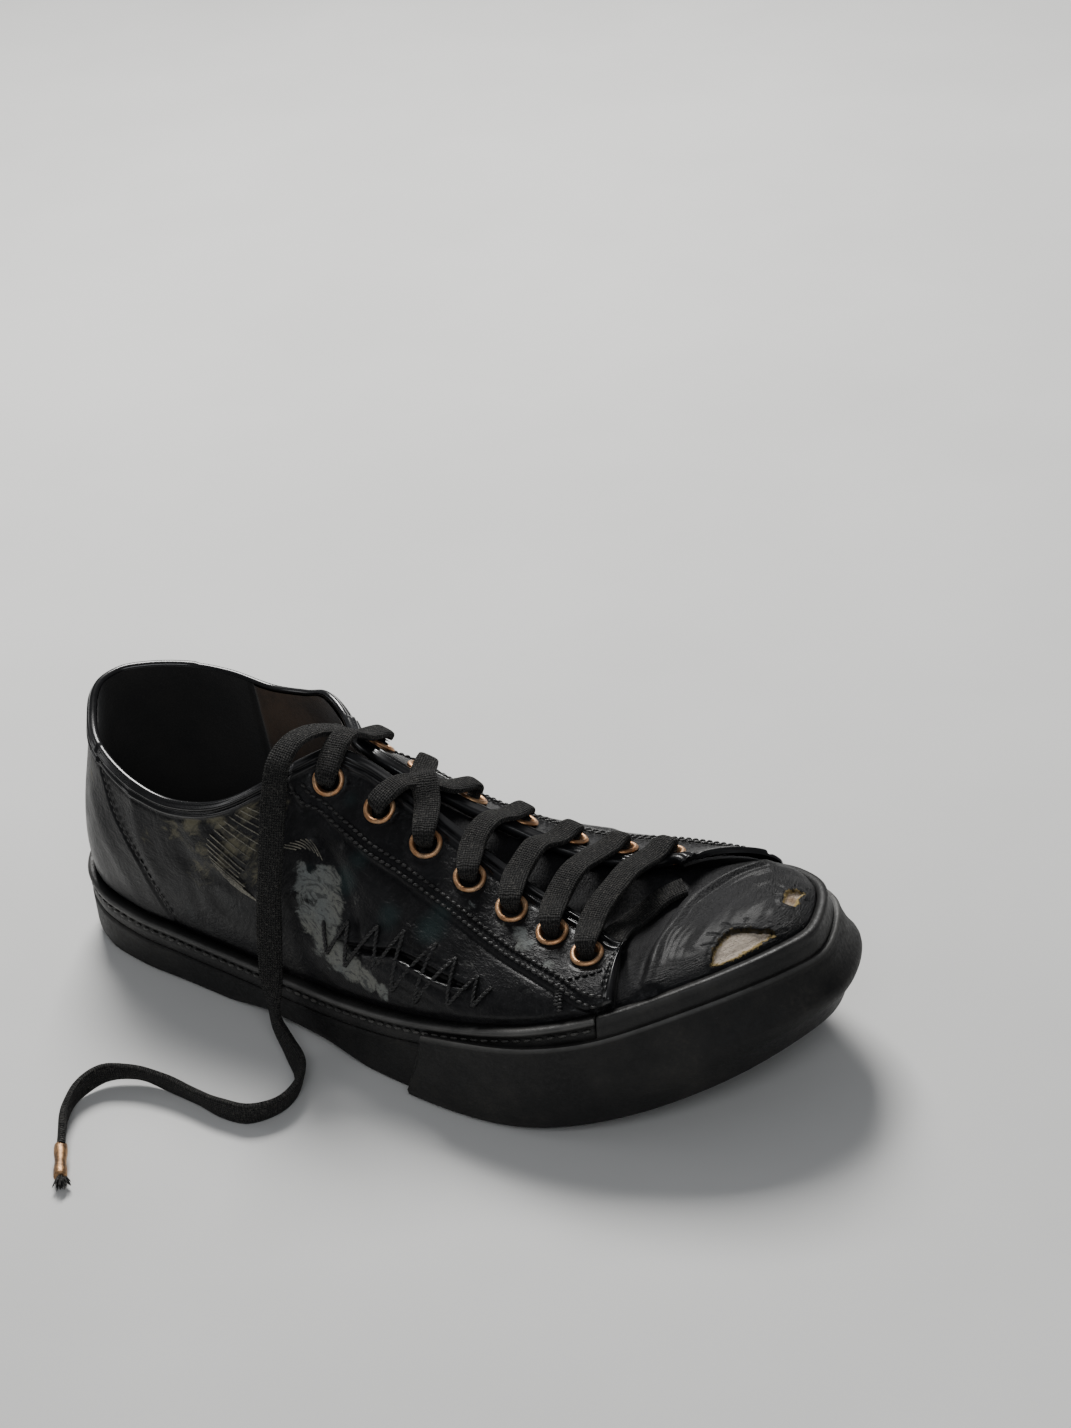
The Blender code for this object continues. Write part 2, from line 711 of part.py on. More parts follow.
def make_eyelet_mesh(finish):
    """A flanged eyelet about its own axis; the leather's outside is at z = 0."""
    lift = FLANGE_LIFT
    barrel = EYELET_BORE + EYELET_BARREL
    top = lift + EYELET_FLANGE
    profile = [(EYELET_BORE, -WALL_AT_EYELET), (barrel, -WALL_AT_EYELET), (barrel, lift),
               (EYELET_RADIUS, lift), ((EYELET_RADIUS + EYELET_BORE) / 2, top),
               (EYELET_BORE, lift)]
    work = bmesh.new()
    rows = []
    for k in range(EYELET_SIDES):
        angle = 2 * math.pi * k / EYELET_SIDES
        rows.append([work.verts.new((r * math.cos(angle), r * math.sin(angle), z))
                     for r, z in profile])
    for k, here in enumerate(rows):
        there = rows[(k + 1) % EYELET_SIDES]
        for m in range(len(profile)):
            n = (m + 1) % len(profile)
            work.faces.new((here[m], here[n], there[n], there[m]))
    bmesh.ops.recalc_face_normals(work, faces=work.faces)
    mesh = bpy.data.meshes.new("eyelet")
    work.to_mesh(mesh)
    work.free()
    mesh.shade_smooth()
    mesh.materials.append(finish)
    return mesh


def make_eyelets(finish):
    mesh = make_eyelet_mesh(finish)
    for side, row in zip(("outer", "inner"), eyelet_places()):
        for number, around in enumerate(row, start=1):
            made = new_object(f"eyelet_{side}_{number}", mesh, finish)
            made.matrix_world = seat_matrix(around)


def make_hole_cutter():
    """One cylinder through the eyestay at each eyelet."""
    work = bmesh.new()
    for row in eyelet_places():
        for around in row:
            bmesh.ops.create_cone(work, cap_ends=True, segments=EYELET_SIDES,
                                  radius1=HOLE_RADIUS, radius2=HOLE_RADIUS, depth=0.012,
                                  matrix=seat_matrix(around))
    mesh = bpy.data.meshes.new("eyelet_holes")
    work.to_mesh(mesh)
    work.free()
    cutter = new_object("eyelet_holes", mesh, None)
    cutter.hide_render = True
    cutter.display_type = "WIRE"
    return cutter


def make_upper(finish):
    loops = [wall_section(around) for around in upper_stations()]
    made = loft("upper", loops, finish, closed=True)
    cut = made.modifiers.new("eyelet_holes", "BOOLEAN")
    cut.operation = "DIFFERENCE"
    cut.solver = "EXACT"
    cut.object = make_hole_cutter()
    return made


# Tongue, which follows the inside of the eyestays

def lined(around, down, depth):
    """A point inside the shoe at a depth below the leather's inner layer, and its normal."""
    normal = outward(around, down)
    return middle_surface(around, down) - depth * normal, normal


def tongue_rows():
    """Rows across the tongue from under the vamp back to the collar, top points and normals."""
    depth = WALL + SOFT_GAP
    tight = TIGHT_GAP
    rows = []
    vamp = np.linspace(FLAP_FRONTS[0] + 0.024, FLAP_FRONTS[1] - 0.024, 7)
    for down in (0.010, 0.002):
        rows.append([lined(a, down, depth + 3 * tight) for a in vamp])
    for t in np.linspace(1.0, 0.0, 9):
        outer = OUTER_EYELETS[0] + (OUTER_EYELETS[1] - OUTER_EYELETS[0]) * t
        inner = INNER_EYELETS[0] + (INNER_EYELETS[1] - INNER_EYELETS[0]) * t
        reach = TONGUE_REACH * (1.0 - 0.6 * t * t)
        inside = depth + tight * abs(2 * t - 1)
        left = [lined(outer, down, inside) for down in (reach, reach / 2, 0.0)]
        right = [lined(inner, down, inside) for down in (0.0, reach / 2, reach)]
        span = np.linalg.norm(right[0][0] - left[2][0])
        normal = left[2][1] + right[0][1]
        normal /= np.linalg.norm(normal)
        crown = (left[2][0] + right[0][0]) / 2 + normal * span * (TONGUE_CROWN - 0.24 * t * t)
        rows.append([*left, (crown, normal), *right])
    return rows


def make_tongue(finish):
    tops = [[point for point, normal in row] for row in tongue_rows()]
    unders = [[point - TONGUE_THICKNESS * normal for point, normal in row]
              for row in tongue_rows()]
    return sheet("tongue", tops, unders, finish)


# Lace

# A flat lace's section, as shares of half its width and half its thickness
STRAP_SHAPE = [(-1.0, 0.0), (-0.72, 1.0), (0.72, 1.0), (1.0, 0.0), (0.72, -1.0), (-0.72, -1.0)]


def strap(path, widths, faces):
    """Loops of a flat lace along a path; faces are the directions that its flat side looks in."""
    loops = []
    path = np.array(path)
    for k, point in enumerate(path):
        ahead = path[min(k + 1, len(path) - 1)] - path[max(k - 1, 0)]
        ahead /= np.linalg.norm(ahead)
        across = np.cross(faces[k], ahead)
        across /= np.linalg.norm(across)
        up = np.cross(ahead, across)
        half, thick = widths[k] / 2, LACE_THICKNESS / 2
        loops.append([point + across * half * a + up * thick * b for a, b in STRAP_SHAPE])
    return loops


def lace_path(start, end, lift, steps=11):
    """From inside one eyelet over both edges of the throat into another."""
    (seat_a, up_a), (seat_b, up_b) = eyelet_seat(start), eyelet_seat(end)
    mouth = FLANGE_LIFT + EYELET_FLANGE
    clear = mouth + LACE_THICKNESS / 2
    over = np.array([0.0, 0.0, 1.0])
    edges = []
    for around in (start, end):
        normal = outward(around, 0.0)
        edges.append(middle_surface(around, 0.0) + normal * LACE_RISE + over * (clear + LACE_EDGE_RISE))
    middle = (edges[0] + edges[1]) / 2 + over * lift
    nodes = [seat_a + up_a * GAP, seat_a + up_a * (clear + LACE_RISE), edges[0], middle,
             edges[1], seat_b + up_b * (clear + LACE_RISE), seat_b + up_b * GAP]
    looks = [up_a, up_a, over, over, over, up_b, up_b]
    broad = [0.50, 0.72, 1.0, 1.0, 1.0, 0.72, 0.50]
    knots = np.concatenate([[0.0], np.cumsum(np.linalg.norm(np.diff(nodes, axis=0), axis=1))])
    rows = [[*node, *look, width] for node, look, width in zip(nodes, looks, broad)]
    values = spline(knots, rows)(np.linspace(0.0, knots[-1], steps))
    faces = values[:, 3:6]
    # The first faces look back over the bend, so the flat side turns with the lace
    side_a = (edges[0] - seat_a) * np.array([1.0, 1.0, 0.0])
    side_b = (edges[1] - seat_b) * np.array([1.0, 1.0, 0.0])
    faces[0] = -side_a / np.linalg.norm(side_a)
    faces[-1] = -side_b / np.linalg.norm(side_b)
    return values[:, :3], values[:, 6] * LACE_WIDTH, faces


def make_bar(name, start, end, finish, lift=LACE_LOOP):
    path, widths, faces = lace_path(start, end, lift)
    return loft(name, strap(path, widths, faces), finish)


def make_cross(outer, inner, finish):
    """Two laces that cross over the throat, joined where they lie on each other."""
    path, widths, faces = lace_path(outer[0], inner[1], LACE_LOOP * 0.45)
    under = loft("lace_cross_under", strap(path, widths, faces), finish)
    path, widths, faces = lace_path(outer[1], inner[0], LACE_LOOP * 0.45 + LACE_THICKNESS * 0.8)
    over = loft("lace_cross", strap(path, widths, faces), finish)
    join = over.modifiers.new("joined", "BOOLEAN")
    join.operation = "UNION"
    join.solver = "EXACT"
    join.object = under
    under.hide_render = True
    under.display_type = "WIRE"
    return over


def make_under_bar(finish):
    """The lace that lies on the tongue in front of the bars, between the flaps."""
    vamp, front, behind = tongue_rows()[1:4]
    clear = LACE_THICKNESS / 2 + 3 * GAP
    half, thick = LACE_WIDTH * 0.42, LACE_THICKNESS / 2
    loops = []
    for at in (2.12, 2.5, 3.0, 3.5, 3.88):
        k = int(at)
        spots, normal = [], np.zeros(3)
        for row in (vamp, front, behind):
            (here, look), (there, look_on) = row[k], row[k + 1]
            spots.append(here + (there - here) * (at - k))
            normal += look + (look_on - look) * (at - k)
        edges = [spots[1] + (spots[0] - spots[1]) * UNDER_BAR_AHEAD,
                 spots[1] + (spots[2] - spots[1]) * UNDER_BAR_BACK]
        normal /= np.linalg.norm(normal)
        across = (edges[1] - edges[0]) / np.linalg.norm(edges[1] - edges[0])
        centre = (edges[0] + edges[1]) / 2 + normal * clear
        loops.append([centre + across * half * a + normal * thick * b for a, b in STRAP_SHAPE])
    return loft("lace_under_bar", loops, finish)


def make_laces(finish):
    outer, inner = eyelet_places()
    make_bar("lace_bar_1", outer[0], inner[0], finish)
    make_cross(outer[1:3], inner[1:3], finish)
    for number in range(4, EYELET_PAIRS + 1):
        make_bar(f"lace_bar_{number}", outer[number - 1], inner[number - 1], finish)
    make_under_bar(finish)


def lace_end_points():
    route = np.array(LACE_ROUTE)
    knots = np.concatenate([[0.0], np.cumsum(np.linalg.norm(np.diff(route, axis=0), axis=1))])
    return spline(knots, route)(np.linspace(0.0, knots[-1], 46))


def make_lace_end(finish):
    points = lace_end_points()
    curve = bpy.data.curves.new("lace_end", "CURVE")
    curve.dimensions = "3D"
    curve.bevel_depth = LACE_END_RADIUS
    curve.bevel_resolution = 1
    curve.use_fill_caps = True
    run = curve.splines.new("POLY")
    run.points.add(len(points) - 1)
    for point, place in zip(run.points, points):
        point.co = (*place, 1.0)
    return new_object("lace_end", curve, finish)


def make_aglet(metal, finish):
    """The metal tube on the lace's end and the frayed tuft that shows past it."""
    points = lace_end_points()
    ahead = Vector(points[-1] - points[-2]).normalized()
    ahead.z = 0.0
    ahead.normalize()
    turn = ahead.to_track_quat("Z", "Y").to_matrix().to_4x4()
    start = Vector(points[-1]) + ahead * GAP
    for name, radii, length, look in (
            ("lace_aglet", (AGLET_RADIUS, AGLET_RADIUS), AGLET_LENGTH, metal),
            ("lace_tip", (AGLET_RADIUS * 0.7, AGLET_RADIUS * 1.3), TIP_LENGTH, finish)):
        work = bmesh.new()
        bmesh.ops.create_cone(work, cap_ends=True, segments=10, radius1=radii[0],
                              radius2=radii[1], depth=length)
        made = finish_mesh(name, work, look)
        made.matrix_world = Matrix.Translation(start + ahead * length / 2) @ turn
        start = start + ahead * (length + GAP)


def main():
    for old in list(bpy.data.objects):
        bpy.data.objects.remove(old)
    leather = material("black_leather", (0.025, 0.025, 0.027), 0.38)
    rubber = material("black_rubber", (0.018, 0.018, 0.019), 0.62)
    lining = material("brown_leather", (0.10, 0.055, 0.03), 0.7)
    lace = material("black_lace", (0.015, 0.015, 0.016), 0.9)
    copper = material("copper", (0.75, 0.36, 0.22), 0.35, 1.0)
    brass = material("brass", (0.55, 0.35, 0.16), 0.4, 1.0)
    make_outsole(rubber)
    make_rand_strip(rubber)
    make_toe_strip(rubber)
    make_bumper(rubber)
    make_insole(lining)
    make_upper(leather)
    make_tongue(leather)
    make_eyelets(copper)
    make_laces(lace)
    make_lace_end(lace)
    make_aglet(brass, lace)


main()
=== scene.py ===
"""Looks of the worn low leather sneaker: creased leather, stitching, tears, laces, light and camera.

A place on the leather is a share of the way round the shoe, from the back of the heel by the outer
side, and a distance down from the top edge. Marks give it as a share and millimetres.
"""
import math

import bpy
import numpy as np
from mathutils import Matrix, Vector


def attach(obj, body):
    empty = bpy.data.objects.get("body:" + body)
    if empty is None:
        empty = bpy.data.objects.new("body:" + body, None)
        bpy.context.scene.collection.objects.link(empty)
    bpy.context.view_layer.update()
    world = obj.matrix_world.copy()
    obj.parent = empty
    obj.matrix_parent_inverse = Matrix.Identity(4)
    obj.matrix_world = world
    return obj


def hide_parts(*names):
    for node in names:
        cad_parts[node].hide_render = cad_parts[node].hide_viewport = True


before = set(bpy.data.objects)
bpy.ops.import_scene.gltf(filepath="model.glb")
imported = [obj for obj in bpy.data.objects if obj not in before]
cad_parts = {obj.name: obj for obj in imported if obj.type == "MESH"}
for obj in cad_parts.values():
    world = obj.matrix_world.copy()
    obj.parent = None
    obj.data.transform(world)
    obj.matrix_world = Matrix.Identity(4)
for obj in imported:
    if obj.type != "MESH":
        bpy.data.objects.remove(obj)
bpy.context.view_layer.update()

CHANCE = np.random.default_rng(7)

# Camera, fitted to the photo: its aim, direction, roll and focal length in the photo's pixels
AIM = Vector((-0.01845, 0.08995, 0.0527))
AZIMUTH = 36.2
ELEVATION = 30.6
ROLL = -6.85
DISTANCE = 1.152
FOCAL_PIXELS = 3287
PHOTO_HEIGHT = 1428

# The shoe's sizes, in metres
SHOE_LENGTH = 0.2945
BALL_WIDTH = 0.118
HEEL_WIDTH = 0.0815
TOE_SPRING = 0.028
TOE_TUCK = 0.0065
BULGE_AT = 0.42
BULGE_FOOT = 0.75
HEEL_BEVEL = 0.008
ARCH_RISE = 0.003
RAND_LOW = 0.0212
RAND_HIGH = 0.058
RAND_STRIP = 0.009
TOE_STRIP_SHOW = 0.0075
SOLE_HEEL = 0.013
SOLE_BALL = 0.009
BUMPER_WALL = 0.0027
STRIP_WALL = 0.0034
TREAD_HEIGHT = 0.0035
INSOLE_THICKNESS = 0.003
GAP = 0.0003
WALL = 0.0015
SIDE_INSET = BUMPER_WALL + 1.5 * GAP
STRIP_INSET = SIDE_INSET + 0.0003
UPPER_INSET = STRIP_INSET + STRIP_WALL + GAP
LINING_INSET = UPPER_INSET + WALL
TONGUE_REACH = 0.018
TONGUE_CROWN = 0.07
TONGUE_DEPTH = WALL + 0.0009
EYELET_RADIUS = 0.0053
EYELET_PAIRS = 7
OUTER_EYELETS = (0.204, 0.36)
INNER_EYELETS = (0.788, 0.632)
STRIP_ENDS = (0.38, 0.603)
BUMPER_TOPS = (0.29, 0.702)
BUMPER_FEET = (0.277, 0.716)
LACE_WIDTH = 0.0088
LACE_THICKNESS = 0.0026
MIRROR = OUTER_EYELETS[0] + INNER_EYELETS[0]

# The sole's outline from the back of the heel by the outer side, as shares of length and width
OUTLINE = [
    # along, across, ball
    (0, 0.012, 0), (0.007, -0.16, 0), (0.029, -0.295, 0), (0.07, -0.406, 0), (0.134, -0.473, 0),
    (0.216, -0.504, 0), (0.301, -0.496, 0.2), (0.385, -0.482, 0.5), (0.47, -0.479, 0.8),
    (0.555, -0.483, 1), (0.64, -0.5, 1), (0.725, -0.488, 1), (0.81, -0.424, 1), (0.881, -0.331, 1),
    (0.939, -0.217, 1), (0.978, -0.089, 1), (1, 0.059, 1), (0.988, 0.211, 1), (0.956, 0.347, 1),
    (0.9, 0.436, 1), (0.827, 0.483, 1), (0.742, 0.502, 1), (0.657, 0.483, 1), (0.555, 0.415, 1),
    (0.47, 0.397, 0.8), (0.385, 0.411, 0.5), (0.301, 0.461, 0.2), (0.216, 0.509, 0), (0.134, 0.496, 0),
    (0.07, 0.429, 0), (0.029, 0.318, 0), (0.007, 0.183, 0),
]

# How the top of the rand climbs: 0 is the waist, 1 is the toe
RAND_LINE = [
    # along, climb
    (0, 0.2), (0.03, 0.13), (0.066, 0.09), (0.273, 0), (0.47, 0.09), (0.623, 0.3), (0.783, 0.6),
    (0.952, 0.98), (1, 1),
]

# Sections of the upper: the top edge's place and height, and how the leather leaves both ends
SECTIONS = [
    # around, along, across, height in mm, lean, slope, low, high
    (0, 0.039, 0.016, 88.11, 8, 82, 0.36, 0.34), (0.034, 0.056, -0.094, 82.325, 9, 80, 0.36, 0.34),
    (0.069, 0.096, -0.187, 77.39, 10, 78, 0.36, 0.34), (0.098, 0.154, -0.242, 72.988, 11, 77, 0.36, 0.34),
    (0.129, 0.223, -0.263, 71, 11, 76, 0.36, 0.34), (0.154, 0.287, -0.25, 74.976, 10, 73, 0.36, 0.34),
    (0.175, 0.338, -0.208, 82.956, 9, 67, 0.36, 0.34), (0.19, 0.376, -0.145, 90.024, 8, 62, 0.36, 0.34),
    (0.202, 0.406, -0.089, 93, 6, 57, 0.36, 0.34), (0.214, 0.437, -0.064, 89.466, 4, 48, 0.36, 0.34),
    (0.236, 0.494, -0.068, 82.491, 1, 33, 0.36, 0.34), (0.272, 0.579, -0.088, 70.959, -2, 25, 0.34, 0.34),
    (0.312, 0.667, -0.115, 60.776, -8, 18, 0.32, 0.34), (0.35, 0.742, -0.14, 56.0145, -15, 17, 0.3, 0.34),
    (0.373, 0.776, -0.163, 53.7675, -20, 15, 0.3, 0.34), (0.39, 0.783, -0.151, 52.43, -25, 8, 0.3, 0.34),
    (0.419, 0.789, -0.094, 51.467, -30, -16, 0.28, 0.32),
    (0.461, 0.793, -0.034, 51.467, -34, -30, 0.27, 0.32),
    (0.509, 0.794, 0.033, 52.002, -34, -33, 0.27, 0.32), (0.55, 0.794, 0.101, 53.5, -30, -26, 0.28, 0.32),
    (0.589, 0.783, 0.177, 56.71, -18, 2, 0.3, 0.34), (0.612, 0.769, 0.173, 57.994, -8, 12, 0.32, 0.34),
    (0.637, 0.735, 0.135, 58.315, -4, 14, 0.34, 0.34), (0.672, 0.667, 0.08, 60.99, -2, 25, 0.34, 0.34),
    (0.712, 0.582, 0.038, 69.471, 2, 32, 0.34, 0.34), (0.753, 0.488, 0.008, 79.515, 4, 28, 0.36, 0.34),
    (0.778, 0.43, 0, 86.955, 4, 28, 0.36, 0.34), (0.792, 0.399, 0.033, 87.978, 5, 40, 0.36, 0.34),
    (0.804, 0.376, 0.093, 86.955, 6, 52, 0.36, 0.34), (0.817, 0.348, 0.156, 86.955, 6, 64, 0.36, 0.34),
    (0.834, 0.31, 0.211, 87.978, 6, 74, 0.36, 0.34), (0.855, 0.27, 0.237, 84.461, 7, 80, 0.36, 0.34),
    (0.88, 0.219, 0.247, 82.236, 8, 82, 0.36, 0.34), (0.911, 0.158, 0.237, 84.995, 8, 82, 0.36, 0.34),
    (0.941, 0.107, 0.199, 87.042, 8, 82, 0.36, 0.34), (0.966, 0.07, 0.127, 89, 8, 81, 0.36, 0.34),
    (0.985, 0.048, 0.071, 89.178, 8, 82, 0.36, 0.34),
]
UP = np.array([0.0, 0.0, 1.0])
RING_LENGTH = 2.3 * SHOE_LENGTH

# Route of the loose lace end in mm, from the throat over the outer side to the floor
LACE_ROUTE = [
    (-32.2, 0.5, 94), (-33, -5.5, 96.8), (-34.3, -12.5, 99.5), (-35, -21, 100.5), (-35, -29, 97.5),
    (-34.5, -35.5, 86), (-34, -41, 71), (-35, -45, 54), (-35, -48.5, 37), (-34.5, -51.5, 23),
    (-32, -54.5, 11), (-25, -58, 4.5), (-17, -64, 3), (-12, -73, 3), (-12, -83, 3), (-18, -90.5, 3),
    (-28, -92, 3), (-40, -90.5, 3), (-52, -89.5, 3.5), (-65, -90.5, 4.5), (-74, -95.5, 4.5),
    (-77, -105, 3.5), (-74, -115.5, 3), (-68, -124.5, 3), (-63, -131, 3),
]


# Curves and the rim

def unit(rows):
    return rows / np.maximum(np.linalg.norm(rows, axis=-1, keepdims=True), 1e-12)


def walk(points):
    """Distance along a line of points."""
    return np.concatenate([[0.0], np.cumsum(np.linalg.norm(np.diff(points, axis=0), axis=1))])


def hermite(t, start, leave, end, arrive):
    """A curve from start to end that leaves and arrives in the given directions."""
    return (start * (1 + 2 * t) * (1 - t) ** 2 + leave * t * (1 - t) ** 2
            + end * t * t * (3 - 2 * t) + arrive * t * t * (t - 1))


def spline(knots, rows, period=None):
    """A smooth curve through the rows, one row for each knot; closed if a period is given."""
    knots = np.asarray(knots, float)
    rows = np.asarray(rows, float).reshape(len(knots), -1)
    if period:
        knots = np.concatenate([knots[-2:] - period, knots, knots[:2] + period])
        rows = np.concatenate([rows[-2:], rows, rows[:2]])
    spans = np.diff(knots)
    steps = np.diff(rows, axis=0) / spans[:, None]
    slopes = np.empty_like(rows)
    slopes[0] = steps[0]
    slopes[-1] = steps[-1]
    slopes[1:-1] = (spans[1:, None] * steps[:-1] + spans[:-1, None] * steps[1:]) \
        / (spans[1:] + spans[:-1])[:, None]

    def value(at):
        at = np.asarray(at, float)
        if period:
            at = np.mod(at, period)
        cell = np.clip(np.searchsorted(knots, at, side="right") - 1, 0, len(spans) - 1)
        span = spans[cell][..., None]
        t = np.clip((at - knots[cell])[..., None] / span, 0.0, 1.0)
        return hermite(t, rows[cell], slopes[cell] * span, rows[cell + 1], slopes[cell + 1] * span)

    return value


def smooth_line(points, count):
    """A smooth line through the points, as count points at about even distances."""
    points = np.asarray(points, float)
    knots = walk(points)
    return spline(knots, points)(np.linspace(0.0, knots[-1], count))


def closed_curve(points):
    """A smooth closed curve through the points, and its length in chords."""
    knots = walk(np.vstack([points, points[:1]]))
    return spline(knots[:-1], points, knots[-1]), knots[-1]


def columns_at(at, knots, table):
    """A table's columns read at places along it."""
    return np.column_stack([np.interp(at, knots, column) for column in table.T])


def make_rim():
    table = np.array(OUTLINE)
    widths = HEEL_WIDTH + (BALL_WIDTH - HEEL_WIDTH) * table[:, 2]
    curve, length = closed_curve(np.column_stack([(table[:, 0] - 0.5) * SHOE_LENGTH,
                                                  table[:, 1] * widths]))
    fine = curve(np.linspace(0.0, length, 1441))
    fine -= (fine.min(axis=0) + fine.max(axis=0)) / 2
    walked = walk(fine)
    share = walked / walked[-1]
    ahead = np.roll(fine[:-1], -1, axis=0) - np.roll(fine[:-1], 1, axis=0)
    inward = unit(np.column_stack([-ahead[:, 1], ahead[:, 0]]))
    inward = np.vstack([inward, inward[:1]])

    def rim(around, inset=0.0):
        around = np.mod(around, 1.0)
        turn = columns_at(around, share, inward)
        return columns_at(around, share, fine) + turn * np.reshape(inset, (-1, 1))

    return rim, walked[-1]


RIM, RIM_LENGTH = make_rim()
RAND_CLIMB = spline([row[0] for row in RAND_LINE], [[row[1]] for row in RAND_LINE])


def ramp(value, start, end):
    """0 before start, 1 after end, smooth between."""
    t = np.clip((np.asarray(value, float) - start) / (end - start), 0.0, 1.0)
    return t * t * (3 - 2 * t)


def share_along(x):
    return np.asarray(x) / SHOE_LENGTH + 0.5


def tuck(around):
    around = np.mod(around, 1.0)
    return TOE_TUCK * ramp(around, 0.34, 0.48) * (1 - ramp(around, 0.55, 0.69))


def toe_lean(climb):
    """Share of the toe's tuck at a height up the side; the bulge between is rounded."""
    soft = 0.24
    below, above = BULGE_FOOT / BULGE_AT, 1 / (1 - BULGE_AT)
    past = climb - BULGE_AT
    if past < -soft:
        return -below * past
    if past > soft:
        return above * past
    share = (past + soft) / (2 * soft)
    return -below * past * (1 - share) ** 2 + above * past * share ** 2 + 0.1 * share * (1 - share)


def spring(x):
    return TOE_SPRING * np.clip((share_along(x) - 0.64) / 0.36, 0.0, None) ** 2


def bottom(x):
    along = share_along(x)
    heel = HEEL_BEVEL * np.clip((0.06 - along) / 0.06, 0.0, None)
    arch = ARCH_RISE * ramp(along, 0.27, 0.35) * (1 - ramp(along, 0.43, 0.51))
    return heel + arch + spring(x)


def rand_top(x):
    climb = RAND_CLIMB(np.clip(share_along(x), 0.0, 1.0))[..., 0]
    return RAND_LOW + (RAND_HIGH - RAND_LOW) * climb


def bumper_top(x):
    drop = 0.45 + 0.55 * ramp(share_along(x), 0.59, 0.83)
    return rand_top(x) - TOE_STRIP_SHOW * drop


def shelf(x):
    return rand_top(x) - RAND_STRIP


def footbed(x):
    thick = SOLE_HEEL + (SOLE_BALL - SOLE_HEEL) * ramp(share_along(x), 0.27, 0.57)
    return np.minimum(thick + spring(x), shelf(x) - GAP)


def side_height(climb):
    def height(x):
        low = bottom(x) + TREAD_HEIGHT
        return low + (shelf(x) - low) * climb
    return height


def ring(around, inset, height, lean=1.0):
    """Points round the rim at an inset; height is a function of x, or numbers."""
    around = np.atleast_1d(around)
    plan = RIM(around, inset + tuck(around) * lean)
    z = height(plan[:, 0]) if callable(height) else np.zeros(len(plan)) + height
    return np.column_stack([plan, z])


# The leather's surface

SECTION_ROWS = spline(
    [row[0] for row in SECTIONS],
    [[(row[1] - 0.5) * SHOE_LENGTH, row[2] * BALL_WIDTH, row[3] / 1000.0, *row[4:]] for row in SECTIONS],
    1.0)
CURVE_STEPS = np.linspace(1.0, 0.0, 129)[None, :, None]


def section_curves(around):
    """The leather's curves from the top edge down to the rand, 129 points for each station."""
    row = SECTION_ROWS(around)
    foot = ring(around, UPPER_INSET, rand_top)
    edge = row[:, :3]
    lean, slope = np.radians(row[:, 3:4]), np.radians(row[:, 4:5])
    inward = edge - ring(around, 0.0, rand_top)
    inward[:, 2] = 0.0
    inward = unit(inward)
    chord = np.linalg.norm(edge - foot, axis=1)[:, None]
    first = foot + row[:, 5:6] * chord * (UP * np.cos(lean) - inward * np.sin(lean))
    second = edge - row[:, 6:7] * chord * (inward * np.cos(slope) + UP * np.sin(slope))
    t = CURVE_STEPS
    return ((1 - t) ** 3 * foot[:, None] + 3 * t * (1 - t) ** 2 * first[:, None]
            + 3 * t * t * (1 - t) * second[:, None] + t ** 3 * edge[:, None])


def skin(around, downs):
    """Points of the inner layer: one row of distances down for each station, and its lengths."""
    curves = section_curves(around)
    walks = [walk(curve) for curve in curves]
    points = np.array([columns_at(*row) for row in zip(downs, walks, curves)])
    return points, np.array([walked[-1] for walked in walks])


def grid_normals(points):
    """Normals of a grid whose first axis goes round and whose second goes down."""
    return unit(np.cross(np.gradient(points, axis=0), -np.gradient(points, axis=1)))


def surface(around, down, lift=0.0):
    """Points on the leather at shares of the way round and distances down, with their normals."""
    around, down = np.atleast_1d(around).astype(float), np.atleast_1d(down).astype(float)
    step, reach = 0.002, 0.001
    rows = np.column_stack([down, down + reach, np.maximum(down - reach, 0.0)])
    here = skin(around, rows)[0]
    ahead = skin(around + step, rows[:, :1])[0] - skin(around - step, rows[:, :1])[0]
    normal = unit(np.cross(ahead[:, 0], here[:, 2] - here[:, 1]))
    return here[:, 0] + normal * np.reshape(lift, (-1, 1)), normal


def metres(marks):
    """Marks as metres round and metres down."""
    return np.array(marks, float) * [RIM_LENGTH, 0.001]


def on_leather(rows, lift=0.0):
    """Points and normals on the leather at metres round and metres down."""
    return surface(rows[:, 0] / RIM_LENGTH, rows[:, 1], lift)


def mark_line(marks, count=40):
    """A smooth line on the leather through marks."""
    return on_leather(smooth_line(metres(marks), count))[0]


def mark_ring(marks):
    """A closed smooth outline on the leather through marks."""
    curve, length = closed_curve(metres(marks))
    return on_leather(curve(np.linspace(0.0, length, 60, endpoint=False)))[0]


def reach_from(points, line):
    """Distance from every point to a line of points."""
    shape = points.shape[:-1]
    flat = points.reshape(-1, 3)
    best = np.full(len(flat), 1.0)
    low, high = line.min(axis=0) - 0.012, line.max(axis=0) + 0.012
    near = np.nonzero(np.all((flat > low) & (flat < high), axis=1))[0]
    spots = flat[near]
    for here, there in zip(line[:-1], line[1:]):
        run = there - here
        t = np.clip((spots - here) @ run / max(run @ run, 1e-12), 0.0, 1.0)
        best[near] = np.minimum(best[near], np.linalg.norm(spots - here - t[:, None] * run, axis=1))
    return best.reshape(shape)


def bump(distance, width):
    return np.exp(-(distance / width) ** 2)


